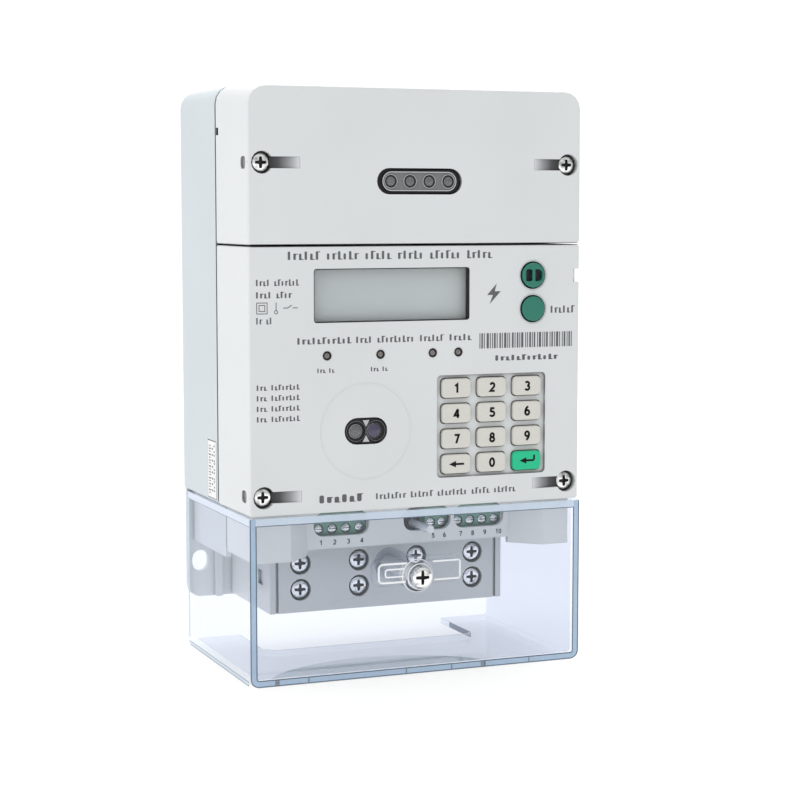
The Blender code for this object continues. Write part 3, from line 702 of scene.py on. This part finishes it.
DIGITS = {
    "0": [sweep(0.3, 0.5, 0.24, 0.42, 0, 360, 20)],
    "1": [[(0.1, 0.74), (0.36, 0.93), (0.36, 0.02)]],
    "2": [sweep(0.3, 0.67, 0.23, 0.25, 165, -35) + [(0.06, 0.08), (0.58, 0.08)]],
    "3": [sweep(0.28, 0.71, 0.22, 0.21, 150, -90), sweep(0.28, 0.28, 0.25, 0.23, 90, -155)],
    "4": [[(0.42, 0.98), (0.04, 0.3), (0.6, 0.3)], [(0.42, 0.98), (0.42, 0.02)]],
    "5": [[(0.55, 0.92), (0.16, 0.92), (0.11, 0.52)], sweep(0.28, 0.33, 0.26, 0.26, 130, -155)],
    "6": [sweep(0.3, 0.31, 0.23, 0.25, 0, 360, 20), sweep(0.44, 0.33, 0.37, 0.6, 180, 92)],
    "7": [[(0.05, 0.92), (0.55, 0.92), (0.24, 0.02)]],
    "8": [sweep(0.3, 0.71, 0.19, 0.21, 0, 360, 20), sweep(0.3, 0.28, 0.24, 0.23, 0, 360, 20)],
    "9": [sweep(0.3, 0.69, 0.23, 0.25, 0, 360, 20), sweep(0.16, 0.67, 0.37, 0.6, 0, -88)],
}


def line(points, width, y0, y1):
    """Solids of a drawn line of constant width through the points, mitred at its corners."""
    points = [Vector(point) for point in points]
    closed = (points[0] - points[-1]).length < 1e-6
    sides = [(b - a).normalized().orthogonal() for a, b in zip(points, points[1:])]
    offsets = []
    for index in range(len(points)):
        before = sides[index - 1] if index or closed else sides[0]
        after = sides[index] if index < len(sides) else (sides[0] if closed else sides[-1])
        middle_way = (before + after).normalized()
        offsets.append(middle_way * (width / 2) / max(0.45, middle_way.dot(after)))
    solids = []
    for index in range(len(points) - 1):
        a, b = points[index], points[index + 1]
        u, v = offsets[index], offsets[index + 1]
        solids.append(prism([a + u, b + v, b - v, a - u], y0, y1))
    return solids


def digit(sign, x, z, height, weight, y):
    """Solids of one printed digit, centred on (x, z)."""
    left, low = x - 0.31 * height, z - 0.5 * height
    solids = []
    for stroke in DIGITS[sign]:
        points = [(left + across * height, low + up * height) for across, up in stroke]
        solids += line(points, weight, y + 0.02, y - 0.03)
    return solids


def arrow(name, x, z):
    """The printed arrow of the back key, or the hooked one of the enter key."""
    y0, y1 = front(name) + 0.02, front(name) - 0.03
    tip, reach = x - 3.0, x + 2.9
    head = [(tip, z), (tip + 2.7, z + 1.2), (tip + 2.7, z - 1.2)]
    path = [(tip + 2.4, z), (reach, z)]
    if name == "key_enter":
        path = [(tip + 2.4, z), (reach - 0.6, z)] + sweep(reach - 0.6, z + 0.6, 0.6, 0.6, -80, 0, 4)
        path.append((reach, z + 2.0))
    solids = [prism(head, y0, y1)] + line(path, 0.75, y0, y1)
    piece(f"{name}_arrow", solids, INK_BLACK, name)


def make_buttons():
    refined("scroll_button", 0.3, 3)
    refined("reset_button", 0.2, 2)
    x, _, z = middle("reset_button")
    # Near-black sheets on the floors of the button's two pockets: painted shade.
    deep = front("reset_button") + 1.45
    shapes = [
        [(-3.1, -2.1), (-0.75, -2.1), (-0.75, 2.1), (-3.1, 2.1)],
        [(0.55, -2.1), (1.8, -2.1), (3.2, -0.8), (3.2, 0.8), (1.8, 2.1), (0.55, 2.1)],
    ]
    solids = [
        prism([(x + across, z + up) for across, up in shape], deep, deep - 0.05) for shape in shapes
    ]
    piece("reset_button_pocket_shade", solids, BLACK_AND_PAINTED_SHADE, "reset_button")
    for name in ("reset_button", "scroll_button"):
        x, _, z = middle(name)
        solids = [ring_solid(x, z, 5.75, 5.38, FACE + 0.05, FACE - 0.12)]
        ring_piece(f"{name}_rim", solids, LOOKS["housing_plastic"], "housing")


def ring_solid(cx, cz, outer, inner, y0, y1, count=48):
    """Four rings of points that close into a flat hoop."""
    return [
        [at(x, y, z) for x, z in circle(cx, cz, radius, count)]
        for radius, y in ((outer, y0), (outer - 0.1, y1), (inner + 0.1, y1), (inner, y0))
    ]


# ---------------------------------------------------------------- display, LEDs and optical port


def make_indicators():
    """The lights in their holes, darkened with painted shade, the optical port and the module's light
    window.
    """
    for number in range(1, 5):
        node = f"status_led_{number}"
        x, _, z = middle(node)
        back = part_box(node)[1].y / MM
        profile = [
            (back, 0.7), (-76.2, 0.7), (-76.3, 1.9), (-77.1, 1.9), (-77.2, 1.1), (-80.5, 1.1),
            (-80.8, 1.0), (-81.1, 0.75), (-81.25, 0.4),
        ]
        lens = [turned(x, z, profile, 24)]
        piece(f"led_{number}", lens, LOOKS["led_lens"], "housing", (node,))
        # A near-black ring down in each hole, round the lens: painted shade.
        gap = [ring_solid(x, z, 1.66, 1.05, FACE + 0.9, FACE + 0.5, 32)]
        ring_piece(f"led_hole_shade_{number}", gap, BLACK_AND_PAINTED_SHADE, "housing")
        rim = [ring_solid(x, z, 2.05, 1.68, FACE + 0.05, FACE - 0.1, 32)]
        ring_piece(f"led_rim_{number}", rim, LOOKS["housing_plastic"], "housing")
    x, _, z = middle("optical_plate")
    hoop = ring_solid(x, z, 17.45, 16.95, FACE + 0.05, FACE - 0.1, 96)
    ring_piece("optical_ring", [hoop], LOOKS["housing_plastic"], "housing")
    make_display_frame()
    make_optical_port(x, z)
    make_module_window()


def make_display_frame():
    """The inner wall of the display opening, near-black: painted shade."""
    x, _, z = middle("lcd_window")
    outer, inner = slab(x, z, 59.94, 19.04, 0.97), slab(x, z, 59.3, 18.4, 0.65)
    back = front("lcd_window") - 0.05
    shape = ((outer, back), (outer, FACE + 0.15), (inner, FACE + 0.3), (inner, back))
    rings = [[at(across, y, up) for across, up in outline] for outline, y in shape]
    ring_piece("display_opening_shade", [rings], BLACK_AND_PAINTED_SHADE, "housing")


def make_optical_port(x, z):
    """A black port with two round pockets: a grey receiver lens and a violet emitter lens."""
    refined("optical_window", 0.12, look=BLACK_AND_PAINTED_SHADE)
    y = front("optical_window") - 0.02
    pockets = [ring_solid(x + side * 3.75, z, 3.75, 3.5, y + 0.05, y - 0.12, 40) for side in (-1, 1)]
    ring_piece("optical_pockets", pockets, SMOKE_GREY_AND_SHADE, "housing")
    grey = [dome(x - 4.05, z, y + 0.02, 0.55, 2.35, 32)]
    piece("optical_receiver", grey, GREY_LENS, "housing")
    violet = [dome(x + 3.0, z, y + 0.02, 0.75, 2.55, 32)]
    piece("optical_emitter", violet, VIOLET_LENS, "housing")
    rims = [
        ring_solid(x - 4.05, z, 2.55, 2.3, y + 0.02, y - 0.3, 32),
        ring_solid(x + 3.0, z, 2.75, 2.55, y + 0.02, y - 0.3, 32),
    ]
    ring_piece("optical_lens_rims", rims, PALE_RIM, "housing")
    webs = [
        prism([(x - 1.3, z + up * 3.9), (x + 1.3, z + up * 3.9), (x, z + up * 1.5)], y + 0.02, y - 0.08)
        for up in (-1, 1)
    ]
    piece("optical_webs", webs, PALE_RIM, "housing")


def make_module_window():
    """A dark recess with a raised grey tray that holds four ringed lenses."""
    body = BODY_OF["module_window"]
    low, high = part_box("module_window")
    x = (low.x + high.x) / 2 / MM
    z = middle("module_window").z
    refined("module_window", 0.12, look=BLACK_AND_PAINTED_SHADE)
    y = front("module_window") + 1.35
    tray = [prism(slab(x, z, 28.6, 6.9, 3.44, 12), y + 0.1, y - 1.35)]
    piece("module_tray", tray, SMOKE_GREY_AND_SHADE, body)
    top = y - 1.35
    outline = [(x, z, 28.6, 6.9), (x, z, 27.9, 6.2)]
    rings = [[at(across, depth, up) for across, up in slab(*size, size[3] / 2 - 0.01, 12)]
             for size, depth in ((outline[0], top + 0.05), (outline[0], top - 0.2),
                                 (outline[1], top - 0.2), (outline[1], top + 0.05))]
    ring_piece("module_tray_rim", [rings], PALE_RIM, body)
    places = [x + 7.4 * (index - 1.5) for index in range(4)]
    hoops = [ring_solid(place, z, 2.6, 2.25, top + 0.02, top - 0.3, 32) for place in places]
    ring_piece("module_lens_rims", hoops, PALE_RIM, body)
    # Near-black rings between each lens and its rim: painted shade.
    gaps = [ring_solid(place, z, 2.25, 1.7, top + 0.02, top - 0.06, 32) for place in places]
    ring_piece("module_lens_gap_shade", gaps, BLACK_AND_PAINTED_SHADE, body)
    lenses = [dome(place, z, top + 0.02, 0.7, 1.7, 28) for place in places]
    piece("module_lenses", lenses, GREY_LENS, body)


def bar(x0, z0, width, height, y, thickness=0.035):
    outline = slab(x0 + width / 2, z0 + height / 2, width, height, min(width, height) * 0.3, 2)
    return prism(outline, y + 0.03, y - thickness)


def words(x0, x1, z, height, counts, y, weight=0.42):
    """A line of print as neutral upright strokes: one stroke a letter, grouped like words."""
    pitch = (x1 - x0) / (sum(counts) + len(counts) - 1)
    solids = []
    x, step = x0, 0
    for count in counts:
        for _ in range(count):
            tall = height if step * 7 % 5 < 2 else height * 0.74
            solids.append(bar(x, z - height / 2, pitch * weight, tall, y))
            if step % 3:
                level = z - height / 2 + (tall - 0.28 if step % 2 else 0.0)
                solids.append(bar(x, level, pitch * 0.8, 0.28, y))
            x += pitch
            step += 1
        x += pitch
    return solids


def bar_code(x0, x1, z0, height, y):
    solids = []
    x, step = x0, 0
    while x < x1:
        width = (0.35, 0.6, 0.35, 0.9, 0.35, 0.35, 0.7)[step % 7]
        solids.append(bar(x, z0, width, height, y))
        x += width + (0.4, 0.4, 0.75, 0.4, 0.55)[step % 5]
        step += 1
    return solids


def symbols(y):
    """A square in a square, an earth rod, an open contact and a lightning flash."""
    y0, y1 = y + 0.03, y - 0.035
    solids = []
    for half in (1.9, 1.05):
        x, z = -59.6, 134.6
        corners = [
            (x - half, z - half), (x + half, z - half), (x + half, z + half), (x - half, z + half),
        ]
        solids += line(corners + corners[:1], 0.26, y0, y1)
    solids += line([(-54.4, 136.6), (-54.4, 133.8)], 0.28, y0, y1)
    solids += line(sweep(-54.4, 133.2, 0.6, 0.6, 0, 360, 12), 0.26, y0, y1)
    solids += line([(-51.8, 134.6), (-50.2, 134.6)], 0.28, y0, y1)
    solids += line([(-50.2, 134.6), (-48.6, 135.6)], 0.28, y0, y1)
    solids += line([(-48.3, 134.6), (-46.4, 134.6)], 0.28, y0, y1)
    flash = [(30.4, 142.0), (26.6, 137.9), (28.9, 137.9), (27.6, 134.6), (32.0, 139.2), (29.6, 139.2)]
    solids.append(prism(flash, y0, y1))
    return solids


def make_marks():
    """Neutral printing on the front: strokes in place of words, a plain bar code and plain symbols."""
    y = FACE
    solids = words(-50.0, 29.0, 152.8, 2.9, (6, 6, 5, 5, 6, 5), y)
    solids += words(-61.7, -45.6, 143.5, 2.2, (4, 7), y)
    solids += words(-61.7, -48.2, 139.2, 2.2, (4, 4), y)
    solids += words(-61.7, -55.5, 130.2, 2.3, (2, 2), y)
    for index in range(4):
        solids += words(-61.7, -45.5, 106.8 - 3.7 * index, 1.9, (3, 8), y)
    captions = ((-46.6, -25.9, (11,)), (-24.5, -1.7, (4, 9)), (0.1, 9.7, (6,)), (11.7, 20.8, (5,)))
    for x0, x1, counts in captions:
        solids += words(x0, x1, 122.8, 2.3, counts, y)
    solids += words(-39.2, -32.5, 112.2, 1.6, (3, 2), y)
    solids += words(-18.9, -12.2, 112.2, 1.6, (3, 2), y)
    solids += words(52.4, 62.6, 132.2, 2.6, (6,), y)
    solids += words(-17.0, 38.8, 66.3, 2.2, (8, 6, 8, 5, 6), y)
    solids += words(-38.6, -21.4, 66.3, 2.8, (6,), y, 0.6)
    solids += words(30.0, 56.0, 114.8, 2.0, (12,), y, 0.5)
    solids += bar_code(23.6, 61.8, 118.4, 5.6, y) + symbols(y)
    piece("front_print", solids, INK, "housing")


def make_terminal_numbers():
    """Small terminal numbers on the skirt, below the auxiliary windows."""
    skirt = -68.0
    solids = []
    for number, x in enumerate(aux_places(), 1):
        for sign, shift in zip(str(number), (0.0, 1.3)):
            solids += digit(sign, x + shift, 48.4, 1.8, 0.34, skirt)
    piece("terminal_numbers", solids, INK_BLACK, "housing")


def make_label_marks():
    """Neutral strokes and bars on the label on the left side, read from top to bottom."""
    low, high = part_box("rating_label")
    x = low.x / MM
    z0, z1 = ((edge.z - CAD_LOW.z) / MM for edge in (low, high))
    y0 = high.y / MM
    solids = []

    def strip(back, width, bottom, top):
        corners = [(back, bottom), (back - width, bottom), (back - width, top), (back, top)]
        solids.append([[at(depth, y, z) for y, z in corners] for depth in (x + 0.02, x - 0.03)])

    z, step = z0 + 1.4, 0
    while z < z1 - 1.6:
        tall = (0.5, 0.9, 0.5, 0.7)[step % 4]
        strip(y0 - 1.2, 2.6, z, z + tall * 0.55)
        if step % 2:
            strip(y0 - 5.0, 1.3, z, z + 0.7)
        if step % 3:
            strip(y0 - 7.4, 1.1, z, z + 0.6)
        z += tall + 0.45
        step += 1
    piece("label_print", solids, INK, "housing")


# ---------------------------------------------------------------- clear cover's edges


def ribbon(points, width, y0, y1):
    """One solid that follows a bent line at constant width, between two depths."""
    points = [Vector(point) for point in points]
    sides = [(b - a).normalized().orthogonal() for a, b in zip(points, points[1:])]
    rings = []
    for index, point in enumerate(points):
        before, after = sides[max(index - 1, 0)], sides[min(index, len(sides) - 1)]
        way = (before + after).normalized()
        off = way * (width / 2) / way.dot(after)
        (xa, za), (xb, zb) = point + off, point - off
        rings.append([at(xa, y0, za), at(xb, y0, zb), at(xb, y1, zb), at(xa, y1, za)])
    return rings


def cup(x0, x1, z0, top, radius):
    """A line down one side, round two corners and up the other side."""
    return (
        [(x0, top)] + arc(x0 + radius, z0 + radius, radius, 2, 3, 6)
        + arc(x1 - radius, z0 + radius, radius, 3, 4, 6) + [(x1, top)]
    )


def make_cover_edges():
    """The walls of the clear cover seen end on: pale blue bands with a darker line of painted shade
    along each side.
    """
    low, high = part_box("terminal_cover")
    x0, x1 = low.x / MM + 0.3, high.x / MM - 0.3
    y0, y1 = low.y / MM + 0.35, high.y / MM - 0.4
    z0, z1 = 0.3, (high.z - CAD_LOW.z) / MM
    rim, corner, thin, wall = z1 - 2.7, 3.3, 0.06, 2.3
    body = BODY_OF["terminal_cover"]
    half = wall / 2
    bands = [
        ribbon(cup(x0 + half, x1 - half, z0 + half, z1 - 0.3, corner - half), wall, y0, y0 + thin),
        sheet_box(x0, x0 + thin, y0 + 2.0, y1, 0.9, 2.0),
        sheet_box(x0, x0 + thin, y1 - 1.5, y1, 3.6, rim),
    ]
    piece("cover_bands", bands, EDGE_BAND, body)
    near, far = y0 - 0.08, y0 - 0.01
    lines = [
        ribbon(cup(x0 + 0.15, x1 - 0.15, z0 + 0.15, z1 - 0.3, corner - 0.15), 0.42, near, far),
        ribbon(cup(x0 + wall, x1 - wall, z0 + wall, rim, corner - wall), 0.42, near, far),
        sheet_box(x0 - 0.08, x0 - 0.01, y0 + 2.0, y1 - 2.0, 2.05, 2.35),
        sheet_box(x0 - 0.08, x0 - 0.01, y0 + 2.0, y1 - 2.0, 0.6, 0.9),
        sheet_box(x0 + 2.6, x1 - 2.6, near, far, rim - 0.3, rim),
        sheet_box(x0 - 0.08, x0 - 0.01, y0 + 1.0, y1, rim - 0.25, rim),
    ]
    ticks = [
        sheet_box(start, start + width, y0 - 0.16, y0 - 0.09, 0.75, 2.3)
        for start, width in ((-55.6, 0.5), (-54.8, 0.7), (-43.2, 0.4), (-5.5, 0.4), (12.5, 0.4),
                             (24.6, 0.5), (25.5, 0.9), (44.0, 0.35))
    ]
    piece("cover_lines", lines, EDGE_SHADE_LINE, body)
    piece("cover_ticks", ticks, SMOKE_GREY_AND_SHADE, body)
    rims = [
        sheet_box(x0 + wall + 0.1, x1 - wall - 0.1, y0, y0 + thin, rim, z1 - 0.2),
        sheet_box(x0, x0 + thin, y0 + 0.2, y1, rim, z1 - 0.2),
    ]
    piece("cover_rim", rims, RIM_BAND, body)
    nubs = [dome(x, 59.4, y0 + 0.3, 0.55, 0.75, 16, 4) for x in (-48.8, 56.9)]
    piece("cover_nubs", nubs, RIM_BAND, body)
    bow = [(-56.0 + 82.0 * step / 24, -78.5 + 19.0 * math.sin(math.pi * step / 24) ** 0.7)
           for step in range(25)]
    patch = [[at(x, y, z) for x, y in bow] for z in (2.53, 2.62)]
    piece("cover_floor_arch", [patch], FLOOR_ARCH, body)


def make_cover_floor():
    """The edges of the cable cut-out in the clear cover's floor."""
    body = BODY_OF["terminal_cover"]
    plan = [(-44.0, -4.0), (-44.0, -32.0), (-40.0, -35.5), (39.0, -35.5), (42.0, -33.0), (42.0, -4.0)]
    solids = []
    for (xa, ya), (xb, yb) in zip(plan, plan[1:]):
        along = Vector((xb - xa, yb - ya)).normalized()
        aside = Vector((-along.y, along.x)) * -0.35
        corners = [(xa, ya), (xb, yb), (xb + aside.x, yb + aside.y), (xa + aside.x, ya + aside.y)]
        solids.append([[at(x, y, z) for x, y in corners] for z in (2.45, 2.58)])
    piece("cover_cutout_edge", solids, RIM_BAND, body)
    # A dark line of painted shade down the cut-out's side wall.
    corners = [(-32.5, 0.3), (-12.0, 0.3), (-12.0, 2.4), (-32.5, 2.4)]
    wall = [[at(x, y, z) for y, z in corners] for x in (42.02, 42.4)]
    piece("cover_cutout_wall", [wall], EDGE_SHADE_LINE, body)


def tube(points, radius, count=10):
    """A thin round bar through points, as rings of corners."""
    rings = []
    for index, point in enumerate(points):
        before = points[max(index - 1, 0)]
        after = points[min(index + 1, len(points) - 1)]
        along = (after - before).normalized()
        aside = along.orthogonal() if abs(along.y) > 0.9 else along.cross(Vector((0, 1, 0)))
        aside.normalize()
        up = along.cross(aside)
        rings.append([
            point + (aside * math.cos(turn) + up * math.sin(turn)) * radius * MM
            for turn in (TAU * step / count for step in range(count))
        ])
    return rings


def make_cover_hub():
    """A pale sleeve round the cover screw that paints the light refracted through the clear boss, and
    painted highlights along the edges of its two finger wings.
    """
    body = BODY_OF["terminal_cover"]
    x, _, z = middle("terminal_cover_screw")
    sleeve = [[at(across, y, up) for across, up in circle(x, z, radius, 32)]
              for y, radius in ((-78.9, 2.45), (-78.9, 3.3), (-51.0, 3.3), (-51.0, 2.45))]
    ring_piece("cover_hub_sleeve", [sleeve], HUB_PAINTED_LIGHT, body)
    # Bright rings round the hub: painted highlights.
    hoops = [ring_solid(x, z, 6.2, 5.8, -79.1, -79.5, 48), ring_solid(x, z, 4.9, 4.5, -81.3, -81.6, 48)]
    ring_piece("cover_hub_rings", hoops, HUB_HIGHLIGHT, body)
    wing = 37.8
    left = [
        (-5.2, wing + 3.4), *arc(-14.4, wing + 1.8, 1.6, 1, 2, 5),
        *arc(-14.4, wing - 1.8, 1.6, 2, 3, 5), (-5.6, wing - 3.4),
    ]
    inner = [
        (-6.4, wing + 1.4), *arc(-12.6, wing + 0.6, 0.8, 1, 2, 4),
        *arc(-12.6, wing - 0.6, 0.8, 2, 3, 4), (-6.4, wing - 1.4),
    ]
    right = [
        (5.2, wing + 3.4), *arc(15.2, wing + 2.6, 0.8, 1, 0, 3),
        *arc(15.2, wing - 2.6, 0.8, 4, 3, 3), (5.6, wing - 3.4),
    ]
    bars = [tube([at(across, -81.0, up) for across, up in path], radius)
            for path, radius in ((left, 0.4), (inner, 0.3), (right, 0.35))]
    piece("cover_wing_edges", bars, HUB_HIGHLIGHT, body)
    # The tamper pin in the pale look: painted light refracted through the clear pin.
    pin = tube([at(5.4, depth, 52.6) for depth in (-78.2, -62.0, -60.6)], 1.42, 16)
    piece("cover_tamper_pin", [pin], HUB_PAINTED_LIGHT, body)


# ---------------------------------------------------------------- grooves


def groove_shade():
    """Painted shade: plastic that darkens from the face's grey towards the screws, across the meter."""
    made, nodes, links, shader = shader_of("groove_shade")
    place = nodes.new("ShaderNodeTexCoord")
    split = nodes.new("ShaderNodeSeparateXYZ")
    links.new(place.outputs["Object"], split.inputs["Vector"])
    across = nodes.new("ShaderNodeMath")
    across.operation = "ABSOLUTE"
    links.new(split.outputs["X"], across.inputs[0])
    scaled = spread(nodes, links, across.outputs["Value"], 0.0, 1.0, 0.0453, 0.0562)
    stops = [(0.0, (0.66, 0.68, 0.69)), (0.35, (0.30, 0.31, 0.32)), (0.7, (0.07, 0.072, 0.075)),
             (1.0, (0.012, 0.012, 0.013))]
    painted(nodes, links, shader, scaled, stops)
    grains = noise(nodes, links, 2600.0, 3.0)
    glossed(nodes, links, shader, grains, 0.4, 0.55)
    return made


def make_grooves():
    """A floor of painted shade in each of the four sealing grooves, and a dark sheet of painted shade
    behind each seal slot.
    """
    shade_look = groove_shade()
    cap = BODY_OF["module_cover"]
    slots = (("lower", "housing", -74.2, 67.9), ("upper", cap, -75.4, 185.2))
    for name, body, depth, height in slots:
        # Dark sheets inside each seal slot: painted shade.
        outline = slab(depth, height, 4.9, 4.3, 1.45, 5)
        slot_shade_sheets = [
            [[at(x, y, z) for y, z in outline] for x in (side * 63.9, side * 63.5)] for side in (-1, 1)
        ]
        piece(f"seal_slot_shade_sheets_{name}", slot_shade_sheets, SMOKE_GREY_AND_SHADE, body)
    for screw, body in (("housing_screw", "housing"), ("module_screw", cap)):
        for side, sign in (("left", -1), ("right", 1)):
            z = middle(f"{screw}_{side}").z
            start, end = sign * 56.1, sign * 45.4
            # Each groove's floor is a sheet of painted shade, darkest at the screw.
            plan = [(start, FACE + 1.8), (end, FACE + 0.1), (end, FACE + 0.04), (start, FACE + 1.7)]
            solid = [[at(x, y, height) for x, y in plan] for height in (z - 2.03, z + 2.03)]
            piece(f"{screw}_groove_{side}", [solid], shade_look, body)


# ---------------------------------------------------------------- stage


def make_stage():
    """A pale sweep: a floor under the meter that curves up into a wall far behind it."""
    floor, far, bend, top, reach = CAD_LOW.z - 0.0006, 1.6, 0.9, 3.2, 9.0
    rise = [(far + bend * math.sin(turn), floor + bend * (1 - math.cos(turn)))
            for turn in (math.pi / 2 * step / 16 for step in range(17))]
    path = [(-reach, floor)] + rise + [(far + bend, top)]
    mesh = bpy.data.meshes.new("floor")
    made = bmesh.new()
    rows = [[made.verts.new((side * reach, y, z)) for side in (-1, 1)] for y, z in path]
    for near, after in zip(rows, rows[1:]):
        made.faces.new((near[0], near[1], after[1], after[0]))
    bmesh.ops.recalc_face_normals(made, faces=made.faces)
    made.to_mesh(mesh)
    made.free()
    mesh.shade_smooth()
    floor_object = linked("floor", mesh)
    look, nodes, links, shader = shader_of("pale_floor")
    drift = noise(nodes, links, 3.0, 2.0)
    painted(nodes, links, shader, drift, [(0.3, (0.39, 0.39, 0.39)), (0.7, (0.41, 0.41, 0.41))])
    dial(shader, {
        "Roughness": 0.7, "Specular IOR Level": 0.2,
        "Emission Color": (1.0, 1.0, 1.0, 1.0), "Emission Strength": 0.63,
    })
    floor_object.data.materials.append(look)
    floor_object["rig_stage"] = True


def make_light():
    """A bright room, dimmer on the viewer's side, and three soft panels."""
    world = bpy.data.worlds.new("studio")
    bpy.context.scene.world = world
    world.use_nodes = True
    nodes, links = world.node_tree.nodes, world.node_tree.links
    nodes.clear()
    place = nodes.new("ShaderNodeTexCoord")
    facing = nodes.new("ShaderNodeVectorMath")
    facing.operation = "DOT_PRODUCT"
    facing.inputs[1].default_value = Vector((-0.62, 0.45, 0.64)).normalized()
    links.new(place.outputs["Generated"], facing.inputs[0])
    strength = spread(nodes, links, facing.outputs["Value"], 0.53, 0.97, -1.0, 0.6)
    back = nodes.new("ShaderNodeBackground")
    back.inputs["Color"].default_value = (0.985, 0.992, 1.0, 1.0)
    links.new(strength, back.inputs["Strength"])
    seen = nodes.new("ShaderNodeBackground")
    seen.inputs["Color"].default_value = (1.0, 1.0, 1.0, 1.0)
    rays = nodes.new("ShaderNodeLightPath")
    room = mixed(nodes, links, rays.outputs["Is Camera Ray"], back, seen)
    out = nodes.new("ShaderNodeOutputWorld")
    links.new(room.outputs["Shader"], out.inputs["Surface"])
    panel("key", (-1.3, -0.5, 0.7), 0.9, 1.6)
    panel("back", (0.4, 1.1, 1.3), 1.2, 8.0)
    overhead = panel("overhead", (0.0, 0.3, 2.4), 3.0, 20.0)
    overhead.rotation_euler = (0.0, 0.0, 0.0)


def panel(name, place, size, power):
    """A square lamp that looks at the meter."""
    data = bpy.data.lights.new(name, "AREA")
    data.size = size
    data.energy = power
    thing = linked(name, data)
    thing.location = place
    thing.rotation_euler = (-Vector(place)).to_track_quat("-Z", "Y").to_euler()
    return thing


def make_camera():
    """A long lens from the left and a little above."""
    data = bpy.data.cameras.new("camera")
    data.sensor_width = 36.0
    data.lens = 89.54
    data.clip_start = 0.01
    thing = linked("camera", data)
    thing.location = at(-276.8, -740.0, 169.1)
    turn, dip = math.radians(22.21), math.radians(5.485)
    thing.rotation_euler = (math.pi / 2 - dip, 0.0, -turn)
    bpy.context.scene.camera = thing


def let_light_through():
    """Clear pieces throw no shadow and add no painted crevice shade to the surfaces beside them."""
    for thing in bpy.context.scene.objects:
        if thing.type == "MESH" and thing.data.materials and thing.data.materials[0] in CLEAR_LOOKS:
            thing.visible_shadow = False


def dress_frame():
    """Gives every CAD node its slot's look."""
    for node, thing in frame["nodes"].items():
        thing.data.materials.clear()
        thing.data.materials.append(SPECIAL_LOOKS.get(node, LOOKS[SLOT_OF[node]]))


def main():
    bpy.context.scene.view_settings.view_transform = "Standard"
    make_camera()
    dress_frame()
    make_casing()
    make_screws()
    make_aux_screws()
    make_keys()
    make_buttons()
    make_indicators()
    make_marks()
    make_terminal_numbers()
    make_label_marks()
    make_cover_edges()
    make_cover_floor()
    make_cover_hub()
    make_grooves()
    let_light_through()
    make_stage()
    make_light()


main()
